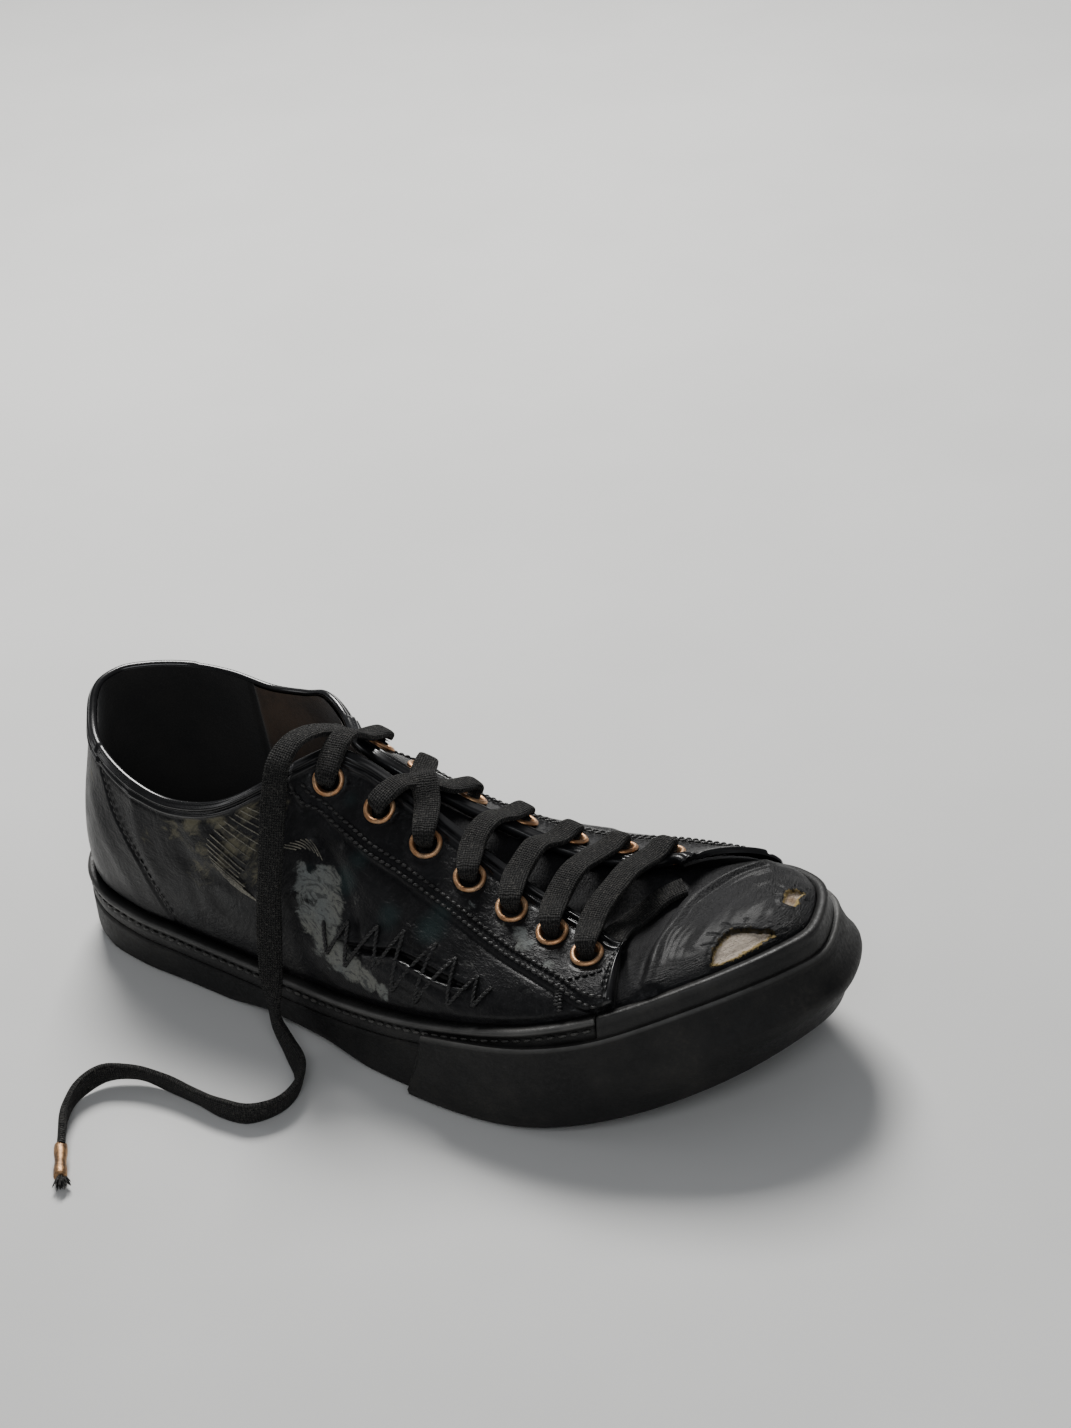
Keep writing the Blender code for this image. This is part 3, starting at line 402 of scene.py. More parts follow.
def ring_distance(points, outline):
    """Distance to a closed outline on the leather, less than 0 inside it."""
    centre = outline.mean(axis=0)
    axes = np.linalg.svd(outline - centre)[2]
    shape = points.shape[:-1]
    away = reach_from(points, np.vstack([outline, outline[:1]])).reshape(-1)
    flat = (points.reshape(-1, 3) - centre) @ axes.T
    shapes = (outline - centre) @ axes.T
    angle = np.zeros(len(flat))
    inside = np.zeros(len(flat), bool)
    for k in range(len(shapes)):
        (ax, ay), (bx, by) = shapes[k - 1, :2], shapes[k, :2]
        cross = (ay > flat[:, 1]) != (by > flat[:, 1])
        edge_x = ax + (flat[:, 1] - ay) * (bx - ax) / (by - ay + 1e-12)
        inside ^= cross & (flat[:, 0] < edge_x)
    inside &= np.abs(flat[:, 2]) < 0.012
    return np.where(inside, -away, away).reshape(shape)


# Mesh making

def put_in_scene(name, data):
    made = bpy.data.objects.new(name, data)
    bpy.context.scene.collection.objects.link(made)
    return made


def make_mesh(name, points, faces, slot, replaced=(), looks=None, flat_map=None, sharp=None):
    """A piece from points and faces, with its looks as numbers at the points.

    A slot may come with the name of another material that shows it.
    """
    slot, material = slot if isinstance(slot, tuple) else (slot, slot)
    mesh = bpy.data.meshes.new(name)
    mesh.from_pydata(np.asarray(points).reshape(-1, 3).tolist(), [], faces)
    for key, values in (looks or {}).items():
        layer = mesh.attributes.new(key, "FLOAT", "POINT")
        layer.data.foreach_set("value", np.asarray(values, np.float32).reshape(-1))
    if flat_map is not None:
        layer = mesh.attributes.new("flat", "FLOAT_VECTOR", "POINT")
        layer.data.foreach_set("vector", np.asarray(flat_map, np.float32).reshape(-1))
    mesh.shade_smooth()
    if sharp:
        mesh.set_sharp_from_angle(angle=math.radians(sharp))
    made = put_in_scene(name, mesh)
    mesh.materials.append(MATERIALS[material])
    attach(made, "root")
    if replaced:
        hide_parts(*replaced)
    return made


def grid_faces(rows, columns, wrap_rows=False, wrap_columns=False, start=0):
    """Quads of a grid of points, seen from outside when rows go round and columns go down."""
    faces = []
    last_row = rows if wrap_rows else rows - 1
    last_column = columns if wrap_columns else columns - 1
    for k in range(last_row):
        here, there = start + k * columns, start + (k + 1) % rows * columns
        for m in range(last_column):
            n = (m + 1) % columns
            faces.append((here + m, here + n, there + n, there + m))
    return faces


def tube_faces(rows, columns, start=0):
    """Quads of a tube of rings, with both ends closed."""
    faces = grid_faces(rows, columns, wrap_columns=True, start=start)
    last = start + (rows - 1) * columns
    return faces + [tuple(range(start, start + columns))[::-1], tuple(range(last, last + columns))]


def even_angles(count):
    return np.linspace(0, 2 * math.pi, count, endpoint=False)


def turned(across, rise, cosines, sines):
    """Rings of directions, one for each row of two directions."""
    return across[:, None] * cosines[None, :, None] + rise[:, None] * sines[None, :, None]


def tube_points(path, radii, sides):
    """Rings round a path with a radius at each point."""
    ahead = unit(np.gradient(path, axis=0))
    side = np.cross(ahead, UP)
    side = unit(np.where(np.linalg.norm(side, axis=1, keepdims=True) < 0.05, [1.0, 0.0, 0.0], side))
    angles = even_angles(sides)
    turn = turned(side, np.cross(side, ahead), np.cos(angles), np.sin(angles))
    return path[:, None] + turn * np.reshape(radii, (-1, 1, 1))


def capsules(name, starts, ends, normals, radius, slot, flat, arch=0.0):
    """Many short stitches in one mesh: from a start to an end, arched over the leather."""
    steps, sides = 5, 6
    run = unit(ends - starts)
    across = unit(np.cross(normals, run))
    rise = np.cross(run, across)
    t = np.linspace(0.0, 1.0, steps)
    radii = radius * np.sqrt(np.maximum(1 - (2 * t - 1) ** 4, 0.02))
    middle = starts[:, None] + (ends - starts)[:, None] * t[:, None]
    middle = middle + rise[:, None] * (arch * np.sin(math.pi * t))[:, None]
    angles = even_angles(sides)
    turn = turned(across, rise * flat, np.cos(angles), np.sin(angles))
    points = middle[:, :, None] + radii[:, None, None] * turn[:, None]
    faces = [face for k in range(len(starts)) for face in tube_faces(steps, sides, k * steps * sides)]
    return make_mesh(name, points, faces, slot)


# Materials

class Wire:
    """The output of a node, for sums in a material."""

    def __init__(self, paint, socket):
        self.paint, self.socket = paint, socket

    def __add__(self, other):
        return self.paint.math("ADD", self, other)

    def __sub__(self, other):
        return self.paint.math("SUBTRACT", self, other)

    def __rsub__(self, other):
        return self.paint.math("SUBTRACT", other, self)

    def __mul__(self, other):
        return self.paint.math("MULTIPLY", self, other)


class Paint:
    """Builds one procedural material node by node."""

    def __init__(self, name):
        self.made = bpy.data.materials.new(name)
        self.made.use_nodes = True
        self.nodes = self.made.node_tree.nodes
        self.place = self.node("TexCoord", {}, "Object")

    def put(self, socket, value):
        if isinstance(value, Wire):
            self.made.node_tree.links.new(value.socket, socket)
        elif isinstance(value, tuple) and socket.type == "RGBA":
            socket.default_value = (*value, 1.0)
        else:
            socket.default_value = value

    def node(self, kind, inputs, output=0, **settings):
        made = self.nodes.new("ShaderNode" + kind)
        for key, value in settings.items():
            setattr(made, key, value)
        for key, value in inputs.items():
            self.put(made.inputs[key], value)
        return Wire(self, made.outputs[output])

    def noise(self, scale, detail=4.0, rough=0.55, place=None, stretch=None, distortion=0.0):
        place = place or self.place
        if stretch:
            place = self.node("Mapping", {"Vector": place, "Scale": stretch})
        return self.node("TexNoise", {"Vector": place, "Scale": scale, "Detail": detail,
                                      "Roughness": rough, "Distortion": distortion})

    def cells(self, scale):
        return self.node("TexVoronoi", {"Vector": self.place, "Scale": scale}, "Distance")

    def attribute(self, name, output="Fac"):
        return self.node("Attribute", {}, output, attribute_name=name)

    def math(self, kind, first, second=0.0, clamp=False):
        return self.node("Math", {0: first, 1: second}, operation=kind, use_clamp=clamp)

    def range(self, *numbers):
        return self.node("MapRange", dict(enumerate(numbers)), interpolation_type="SMOOTHSTEP")

    def mix(self, share, first, second):
        return self.node("Mix", {0: share, 6: first, 7: second}, 2, data_type="RGBA")

    def relief(self, height, strength, distance, under=None):
        inputs = {"Height": height, "Strength": strength, "Distance": distance}
        return self.node("Bump", {**inputs, "Normal": under} if under else inputs)

    def finish(self, **values):
        for key, value in values.items():
            self.put(self.nodes["Principled BSDF"].inputs[key.replace("_", " ")], value)
        return self.made


def leather_paint():
    """Black leather: grain, fine stretched wrinkles, worn and stained areas from the piece, and painted
    shade in the gash and the eyelet holes.
    """
    p = Paint("black_leather_worn")
    flat = p.attribute("flat", "Vector")
    wear, brown, teal, painted_shade, smooth = map(p.attribute, ("wear", "brown", "teal", "painted_shade", "bead"))
    rough_part = 1 - smooth
    patch = p.noise(38, 5, 0.6)
    fine = p.noise(420, 4, 0.6)
    speck = p.noise(1500, 3, 0.65)
    streak = p.noise(190, 7, 0.7, flat, (0.8, 1.1, 1), 0.7) - 0.5
    colour = p.mix(p.range(patch, 0.35, 0.7), (0.004, 0.004, 0.0045), (0.011, 0.011, 0.012))
    colour = p.mix(p.range(fine, 0.5, 0.75) * 0.3, colour, (0.028, 0.028, 0.03))
    stain = p.range(brown + streak * 2.6, 0.4, 1) * p.range(brown, 0.08, 0.35) * rough_part
    colour = p.mix(stain, colour, p.mix(speck, (0.06, 0.055, 0.036), (0.17, 0.155, 0.105)))
    green = p.range(teal + patch * 0.6, 0.62, 1.2, 0, 0.6)
    colour = p.mix(green, colour, (0.018, 0.038, 0.038))
    rubbed = p.range(wear + streak * 1.3, 0.44, 0.66) * p.range(wear, 0.05, 0.35) * rough_part
    cracks = p.noise(210, 5, 0.6, flat, (0.7, 1.5, 1), 2.2)
    pale = p.mix(p.range(patch, 0.4, 0.6), (0.19, 0.21, 0.205), (0.25, 0.25, 0.215))
    pale = p.mix(p.range(cracks, 0.37, 0.5, 1, 0), pale, (0.045, 0.047, 0.045))
    colour = p.mix(rubbed, colour, p.mix(speck, (0.09, 0.093, 0.09), pale))
    dust = p.range(speck * p.range(patch, 0.45, 0.7), 0.46, 0.62, 0, 0.35) * rough_part
    colour = p.mix(dust, colour, (0.11, 0.105, 0.095))
    # Painted shade: near black inside the gash's slit and the eyelet holes.
    colour = p.mix(painted_shade, colour, (0.004, 0.004, 0.004))
    roughness = p.range(patch, 0.3, 0.75, 0.34, 0.48) + p.math("MAXIMUM", rubbed, stain) * 0.28
    folds = p.noise(85, 5, 0.6, flat, (1.2, 1, 1), 1) * rough_part
    wrinkles = p.noise(380, 4, 0.6, flat, (0.8, 1.5, 1), 1.4) * rough_part
    normal = p.relief(folds, 0.5, 0.0016)
    normal = p.relief(wrinkles, 0.55, 0.0006, normal)
    normal = p.relief(p.cells(1500) * rough_part, 0.3, 0.0002, normal)
    normal = p.relief(rubbed * fine, 0.25, 0.0004, normal)
    return p.finish(Base_Color=colour, Roughness=roughness - smooth * 0.11, Normal=normal,
                    Coat_Weight=p.range(patch, 0.3, 0.7, 0.15, 0.045) + smooth * 0.5,
                    Coat_Roughness=0.13, Specular_IOR_Level=0.2)


def vamp_paint():
    """The vamp's leather with torn places: cream liner inside, a ragged yellow-brown rim."""
    p = Paint("torn_leather")
    flat = p.attribute("flat", "Vector")
    wear, hole, centre, shade = map(p.attribute, ("wear", "hole", "brown_liner", "shade"))
    patch = p.noise(45, 5, 0.6)
    fine = p.noise(520, 5, 0.65)
    speck = p.noise(1700, 3, 0.65)
    ragged = hole + (fine - 0.5) * p.range(centre, 0, 0.5, 0.0042, 0.0016)
    colour = p.mix(p.range(patch, 0.35, 0.7), (0.0055, 0.0055, 0.006), (0.014, 0.014, 0.0155))
    colour = p.mix(p.range(fine, 0.52, 0.75) * 0.3, colour, (0.035, 0.035, 0.037))
    rubbed = p.range(wear + fine * 0.7, 0.72, 1.15)
    colour = p.mix(rubbed, colour, p.mix(speck, (0.05, 0.05, 0.052), (0.13, 0.13, 0.135)))
    rim = p.range(ragged, 0.0001, 0.0006, 1, 0)
    colour = p.mix(rim, colour, p.mix(speck, (0.22, 0.15, 0.055), (0.55, 0.42, 0.19)))
    inside = p.range(ragged, -0.0008, -0.0001, 1, 0)
    weave = p.noise(900, 3, 0.6)
    liner = p.mix(weave, (0.44, 0.36, 0.28), (0.74, 0.65, 0.55))
    liner = p.mix(centre, liner, p.mix(weave, (0.16, 0.09, 0.04), (0.34, 0.22, 0.12)))
    colour = p.mix(inside, colour, liner)
    colour = p.mix(shade * 0.92, colour, (0.006, 0.005, 0.004))
    torn = p.math("MAXIMUM", rim, inside)
    roughness = p.math("ADD", p.range(patch, 0.3, 0.75, 0.46, 0.62), torn * 0.5, True)
    normal = p.relief(p.noise(520, 5, 0.62, flat, (0.6, 1.5, 1), 0.4), 0.8, 0.0008)
    normal = p.relief(p.noise(1100, 4, 0.62, flat, (0.35, 1.6, 1), 0.4), 1, 0.0007, normal)
    normal = p.relief(p.cells(1600), 0.35, 0.00022, normal)
    normal = p.relief(torn * fine, 1, 0.0015, normal)
    return p.finish(Base_Color=colour, Roughness=roughness, Normal=normal,
                    Coat_Weight=p.range(patch, 0.3, 0.7, 0.06, 0.02) * (1 - torn),
                    Coat_Roughness=0.2, Specular_IOR_Level=0.2)


def rubber_paint(name, base, high, dusty, rough=0.5):
    """Rubber: matte, dusty, scratched, and paler along the edges that the piece marks: edge wear with a
    painted highlight on the lip.
    """
    p = Paint(name)
    edge = p.attribute("edge")
    patch = p.noise(42, 6, 0.65)
    fine = p.noise(700, 4, 0.65)
    scratch = p.noise(160, 6, 0.7, None, (1, 1, 7), 0.6)
    colour = p.mix(p.range(patch, 0.35, 0.7), base, high)
    colour = p.mix(p.range(patch * 0.6 + fine * 0.5, 0.52, 0.85, 0, dusty), colour,
                   (0.085, 0.078, 0.066))
    colour = p.mix(p.range(scratch, 0.63, 0.76, 0, 0.3), colour, (0.09, 0.086, 0.08))
    # Edge wear and painted highlight: a pale line along the marked edges.
    colour = p.mix(edge * p.range(patch, 0.3, 0.6, 0.5, 1), colour, (0.115, 0.113, 0.108))
    roughness = p.range(fine, 0.3, 0.75, rough, rough + 0.2) - edge * 0.12
    normal = p.relief(patch, 0.25, 0.0016)
    normal = p.relief(scratch, 0.25, 0.0006, normal)
    return p.finish(Base_Color=colour, Roughness=roughness, Specular_IOR_Level=0.28,
                    Normal=p.relief(fine, 0.3, 0.0003, normal))


def lace_paint():
    """Woven lace: slanting threads across its width, dusty in patches."""
    p = Paint("woven_lace")
    thread_turns = 3900
    split = p.node("SeparateXYZ", {0: p.attribute("flat", "Vector")}).socket.node.outputs
    patch = p.noise(60, 5, 0.6)
    fuzz = p.noise(1400, 4, 0.7)
    loose = (p.noise(500, 3) - 0.5) * 0.0012
    along = Wire(p, split[0]) + loose
    across = Wire(p, split[1]) + loose * 0.6
    weave = (p.math("SINE", (along + across) * thread_turns)
             * p.math("SINE", (along - across) * thread_turns))
    colour = p.mix(p.range(weave, -0.5, 0.8), (0.0015, 0.0015, 0.0015), (0.038, 0.037, 0.035))
    colour = p.mix(p.range(fuzz, 0.54, 0.64, 0, 0.8), colour, (0.115, 0.108, 0.096))
    colour = p.mix(p.range(patch * fuzz, 0.26, 0.42, 0, 0.4), colour, (0.06, 0.055, 0.047))
    normal = p.relief(fuzz, 0.8, 0.0005, p.relief(weave, 1, 0.0009))
    return p.finish(Base_Color=colour, Roughness=0.82, Normal=normal, Sheen_Weight=0.03,
                    Sheen_Roughness=0.5, Specular_IOR_Level=0.3)


def copper_paint():
    p = Paint("worn_copper")
    patch = p.noise(260, 5, 0.65)
    fine = p.noise(1800, 4, 0.7)
    colour = p.mix(p.range(patch, 0.35, 0.7), (0.5, 0.25, 0.12), (0.76, 0.5, 0.29))
    dull = p.range(patch + fine * 0.4, 0.72, 0.95)
    return p.finish(Base_Color=p.mix(dull, colour, (0.12, 0.065, 0.045)),
                    Roughness=p.range(patch, 0.3, 0.7, 0.34, 0.55),
                    Normal=p.relief(fine, 0.35, 0.0003), Metallic=p.range(dull, 0, 1, 0.9, 0.35))


def brass_paint():
    p = Paint("aged_brass")
    patch = p.noise(300, 5, 0.65)
    fine = p.noise(1600, 4, 0.7)
    colour = p.mix(p.range(patch, 0.35, 0.65), (0.48, 0.28, 0.14), (0.17, 0.1, 0.055))
    return p.finish(Base_Color=colour, Roughness=p.range(fine, 0.3, 0.8, 0.34, 0.6), Metallic=0.85,
                    Normal=p.relief(fine, 0.4, 0.0003))


def thread_paint(name, low, high, rough):
    p = Paint(name)
    twist = p.noise(2400, 3, 0.6)
    colour = p.mix(p.range(twist + p.noise(120, 4, 0.6), 0.75, 1.25), low, high)
    return p.finish(Base_Color=colour, Roughness=rough, Normal=p.relief(twist, 0.6, 0.0004))


def lining_paint(name, low, high):
    """Brushed lining and insole: mottled, matte, dusty."""
    p = Paint(name)
    patch = p.noise(55, 6, 0.65)
    nap = p.noise(1300, 4, 0.7)
    colour = p.mix(p.range(patch, 0.3, 0.72), low, high)
    tan = p.mix(p.range(patch, 0.35, 0.65), (0.03, 0.017, 0.009), (0.085, 0.05, 0.027))
    colour = p.mix(p.attribute("panel"), colour, tan)
    colour = p.mix(p.range(nap, 0.45, 0.8, 0, 0.4), colour, tuple(c * 2.2 for c in high))
    normal = p.relief(nap, 0.5, 0.0004, p.relief(patch, 0.3, 0.0015))
    return p.finish(Base_Color=colour, Roughness=0.85, Normal=normal, Sheen_Weight=0.2)


MATERIALS = {
    "black_leather": leather_paint(),
    "vamp": vamp_paint(),
    "black_rubber": rubber_paint("black_rubber_worn", (0.006, 0.006, 0.006), (0.013, 0.0125, 0.012), 0.28),
    "rand": rubber_paint("rand_rubber", (0.008, 0.008, 0.008), (0.018, 0.0175, 0.017), 0.22, 0.4),
    "black_lace": lace_paint(),
    "copper": copper_paint(),
    "aged_brass": brass_paint(),
    "thread": thread_paint("black_thread", (0.005, 0.005, 0.005), (0.028, 0.027, 0.026), 0.36),
    "rand_thread": thread_paint("rand_thread", (0.01, 0.01, 0.01), (0.075, 0.072, 0.066), 0.4),
    "mend": thread_paint("mending_thread", (0.0015, 0.0015, 0.0015), (0.016, 0.0155, 0.015), 0.34),
    "darn": thread_paint("darning_thread", (0.05, 0.047, 0.038), (0.27, 0.25, 0.2), 0.4),
    "brown_leather": lining_paint("brown_lining", (0.05, 0.026, 0.014), (0.12, 0.066, 0.036)),
    "lining": lining_paint("black_lining", (0.005, 0.005, 0.005), (0.012, 0.011, 0.01)),
}


# Camera, light and floor

def make_camera():
    turn, climb, roll = map(math.radians, (AZIMUTH, ELEVATION, ROLL))
    back = Vector((math.sin(turn) * math.cos(climb), -math.cos(turn) * math.cos(climb),
                   math.sin(climb)))
    right = (-back).cross(Vector(UP)).normalized()
    rise = right.cross(-back)
    across = right * math.cos(roll) + rise * math.sin(roll)
    above = rise * math.cos(roll) - right * math.sin(roll)
    data = bpy.data.cameras.new("camera")
    data.sensor_fit = "VERTICAL"
    data.sensor_height = 36.0
    data.lens = FOCAL_PIXELS * data.sensor_height / PHOTO_HEIGHT
    data.clip_start = 0.01
    made = put_in_scene("camera", data)
    made.matrix_world = Matrix.Translation(AIM + back * DISTANCE) @ Matrix(
        (across, above, back)).transposed().to_4x4()
    bpy.context.scene.camera = made


def make_light(name, place, size, power, colour=(1.0, 1.0, 1.0)):
    data = bpy.data.lights.new(name, "AREA")
    data.shape = "RECTANGLE"
    data.size, data.size_y = size
    data.energy = power
    data.color = colour
    made = put_in_scene(name, data)
    made.location = place
    made.rotation_euler = (Vector((0.0, 0.0, 0.04)) - Vector(place)).to_track_quat("-Z", "Y").to_euler()


def make_stage():
    p = Paint("pale_floor")
    colour = p.mix(p.range(p.noise(5.0, 4.0), 0.3, 0.7), (0.66, 0.66, 0.65), (0.71, 0.71, 0.7))
    normal = p.relief(p.noise(400.0, 3.0), 0.06, 0.0004)
    bpy.ops.mesh.primitive_plane_add(size=6.0, location=(0, 0, 0))
    floor = bpy.context.object
    floor.name = "floor"
    floor.data.materials.append(p.finish(Base_Color=colour, Roughness=0.7, Normal=normal))
    world = bpy.data.worlds.new("soft_room")
    world.use_nodes = True
    colour, strength = world.node_tree.nodes["Background"].inputs[:2]
    colour.default_value = (0.8, 0.82, 0.86, 1.0)
    strength.default_value = 0.18
    bpy.context.scene.world = world
    make_light("key", (-0.6, 0.75, 1.15), (0.55, 0.55), 31.0, (1.0, 0.99, 0.97))
    make_light("front", (0.7, -0.95, 1.0), (0.8, 0.5), 5.4, (0.95, 0.975, 1.0))
    make_light("side", (-1.05, -0.35, 0.55), (0.35, 0.35), 0.8)


make_camera()
make_stage()


# Laces

def rounded(values, power):
    return np.sign(values) * np.abs(values) ** power


RIBBON_SIDES = 16
RIBBON_ACROSS = rounded(np.cos(even_angles(RIBBON_SIDES)), 0.55)
RIBBON_THICK = rounded(np.sin(even_angles(RIBBON_SIDES)), 0.62)
LOOSE_WIDTH = 0.0084
FLOOR_LIFT = 0.0043
ROUTE_LOW = 0.003


def ribbon(name, runs, replaced):
    """Flat woven laces, each from its path, widths and the directions that its flat side looks in."""
    points, faces, flats = [], [], []
    for path, widths, looks in runs:
        ahead = unit(np.gradient(path, axis=0))
        across = unit(np.cross(looks, ahead))
        half = np.reshape(widths, (-1, 1)) / 2
        rings = path[:, None] + turned(across * half, np.cross(ahead, across) * (LACE_THICKNESS / 2),
                                       RIBBON_ACROSS, RIBBON_THICK)
        faces += tube_faces(len(path), RIBBON_SIDES, len(points) * rings.size // 3)
        along = np.repeat(walk(path)[:, None], RIBBON_SIDES, axis=1)
        flats.append(np.stack([along, half * RIBBON_ACROSS, 0 * along], axis=2))
        points.append(rings)
    return make_mesh(name, np.array(points), faces, "black_lace", replaced, flat_map=np.array(flats))


def eyelet_seat(around):
    """The plane under an eyelet's flange: its point and normal."""
    share = EYELET_RADIUS / RING_LENGTH
    spots = np.array([(around + a * share, 0.01 + b * EYELET_RADIUS)
                      for a in (-1, 0, 1) for b in (-1, 0, 1)])
    points, normals = surface(spots[:, 0], spots[:, 1])
    normal = unit(normals.sum(axis=0))
    highest = float(((points - points[4]) @ normal).max())
    return points[4] + (0.0014 + highest) * normal, normal


EYELET_PLACES = [[start + (end - start) * k / (EYELET_PAIRS - 1) for k in range(EYELET_PAIRS)]
                 for start, end in (OUTER_EYELETS, INNER_EYELETS)]
SEATS = [[eyelet_seat(around) for around in row] for row in EYELET_PLACES]


def make_lace_end():
    """The loose end: over the near flap, down the side and along the floor on its edge."""
    path = smooth_line(np.array(LACE_ROUTE) / 1000.0, 300)
    path[:, 2] += ramp(path[:, 2], 0.02, 0.004) * (FLOOR_LIFT - ROUTE_LOW)
    path[:, 2] = np.maximum(path[:, 2], FLOOR_LIFT)
    span = walk(path)
    over = (ramp(path[:, 1], -0.03, -0.022) * ramp(path[:, 2], 0.085, 0.093))[:, None]
    face = UP * over + np.array([0.35, -1.0, 0.15]) * (1 - over)
    standing = unit(np.cross(unit(np.gradient(path, axis=0)), UP)) + 0.28 * UP
    share = ramp(path[:, 2], 0.03, 0.01)[:, None]
    looks = unit(face * (1 - share) + standing * share)
    for _ in range(12):
        looks[1:-1] = (looks[:-2] + looks[1:-1] * 2 + looks[2:]) / 4
    wiggle = 0.12 * np.sin(span * 95.0) + 0.08 * np.sin(span * 231.0 + 1.0)
    looks = unit(looks + wiggle[:, None] * UP)
    widths = LOOSE_WIDTH * (1 + 0.035 * np.sin(span * 160.0))
    widths[-10:] *= np.linspace(1.0, 0.55, 10)
    widths[:6] *= np.linspace(0.7, 1.0, 6)
    made = ribbon("loose_lace", [(path, widths, looks)], ("lace_end",))
    run = unit((path[-1] - path[-4]) * [1.0, 1.0, 0.0])
    steps, sides = 24, 18
    line = path[-1] + run * np.linspace(-0.001, 0.0128, steps)[:, None]
    line[:, 2] -= np.linspace(0.0, 0.0016, steps)
    rings = tube_points(line, 0.0021 + 0.00018 * np.sin(np.linspace(0, 9, steps)), sides)
    aglet = make_mesh("lace_tube", rings, tube_faces(steps, sides), "aged_brass", ("lace_aglet",))
    starts, ends = [], []
    side = np.cross(run, UP)
    for _ in range(46):
        spread = CHANCE.normal(0, 1, 2)
        starts.append(line[-1] + side * 0.0007 * spread[0] + UP * 0.0005 * spread[1])
        ends.append(line[-1] + run * CHANCE.uniform(0.003, 0.0068) + side * 0.0017 * spread[0]
                    + UP * 0.0009 * spread[1])
    tuft = capsules("frayed_tip", np.array(starts), np.array(ends), UP, 0.00028, "black_lace", 1.0)
    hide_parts("lace_tip")


def lace_path(outer, inner, lift, back=0.0, steps=72):
    """From inside an outer eyelet over both edges of the throat into an inner one."""
    places = [EYELET_PLACES[0][outer - 1], EYELET_PLACES[1][inner - 1]]
    (seat_a, up_a), (seat_b, up_b) = SEATS[0][outer - 1], SEATS[1][inner - 1]
    dip = 0.0016
    clear = 0.0014 + LACE_THICKNESS / 2 + dip
    edges = []
    for around, share in zip(places, (0.26, 0.74)):
        row, normals = surface(np.linspace(around - 0.03, around + 0.03, 61), np.zeros(61))
        nearest = np.argmin(np.abs(row[:, 0] - seat_a[0] - (seat_b[0] - seat_a[0]) * share))
        edges.append(row[nearest] + normals[nearest] * 0.0024 + UP * 0.0018)
    toward = np.array([-back, 0.0, 0.0])
    middle = (edges[0] + edges[1]) / 2 + UP * lift + toward * 0.85
    edges = [edges[0] + toward, edges[1] + toward * 0.35]
    nodes = [seat_a - up_a * dip, seat_a + up_a * clear, edges[0], middle, edges[1],
             seat_b + up_b * clear, seat_b - up_b * dip]
    looks = [up_a, up_a, UP, UP, UP, up_b, up_b]
    broad = [0.42, 0.74, 1.0, 1.0, 1.0, 0.74, 0.42]
    knots = walk(np.array(nodes))
    rows = [[*node, *look, width] for node, look, width in zip(nodes, looks, broad)]
    values = spline(knots, rows)(np.linspace(0.0, knots[-1], steps))
    path, faces = values[:, :3], values[:, 3:6].copy()
    for k in range(5):
        share = 1 - k / 5.0
        for at, edge, seat in ((k, edges[0], seat_a), (-1 - k, edges[1], seat_b)):
            away = unit((edge - seat) * [1.0, 1.0, 0.0])
            faces[at] = unit(faces[at] * (1 - share) - away * share)
    t = np.linspace(0.0, 1.0, steps)
    path[:, 2] += 0.0003 * np.sin(t * 21.0 + places[0] * 90) * np.sin(math.pi * t)
    sway = 0.1 * np.sin(t * 9.0 + places[0] * 140)[:, None]
    return path, values[:, 6] * LACE_WIDTH, unit(faces + sway * unit(np.gradient(path, axis=0)))


UNDER_BAR_ROUTE = [(0.0805, -0.02, 0.0541), (0.0786, -0.012, 0.0533), (0.0778, -0.004, 0.0511),
                   (0.0794, 0.003, 0.0516), (0.0832, 0.009, 0.0547), (0.0878, 0.0135, 0.0566)]


def make_laces():
    lift = 0.0032
    low = lift * 0.45
    for number in (1, 4, 5, 6, 7):
        back = 0.0 if number == 1 else 0.0034
        ribbon(f"bar_{number}", [lace_path(number, number, lift, back)], (f"lace_bar_{number}",))
    ribbon("crossed_laces", [lace_path(2, 3, low), lace_path(3, 2, low + LACE_THICKNESS * 0.95)],
           ("lace_cross",))
    count = 50
    run = (smooth_line(UNDER_BAR_ROUTE, count), np.full(count, LACE_WIDTH * 0.96),
           np.tile(UP, (count, 1)))
    ribbon("bar_under", [run], ("lace_under_bar",))


def make_eyelets():
    """Rolled copper rings with a worn, slightly uneven flange."""
    profile = np.array([(3.6, -2.9), (3.6, -0.4), (3.66, 0.4), (3.85, 0.9), (4.2, 1.2), (4.6, 1.18),
                        (5.0, 0.98), (5.3, 0.65), (5.4, 0.3), (5.2, 0.1), (3.8, 0.2)]) / 1000.0
    sides = 40
    angles = even_angles(sides)
    faces = [face[::-1] for face in grid_faces(sides, len(profile), wrap_rows=True)]
    for side, label in enumerate(("outer", "inner")):
        for number, (seat, normal) in enumerate(SEATS[side]):
            turn = Vector(normal).to_track_quat("Z", "Y").to_matrix()
            wobble = 1 + 0.018 * np.sin(2 * angles + number) + 0.008 * np.sin(5 * angles + side)
            rings = np.array([[(r * w * math.cos(t), r * w * math.sin(t), z) for r, z in profile]
                              for t, w in zip(angles, wobble)])
            make_mesh(f"ring_{label}_{number + 1}", rings @ np.array(turn).T + seat, faces, "copper",
                      (f"eyelet_{label}_{number + 1}",))


make_lace_end()
make_laces()
make_eyelets()


# Leather features, as marks

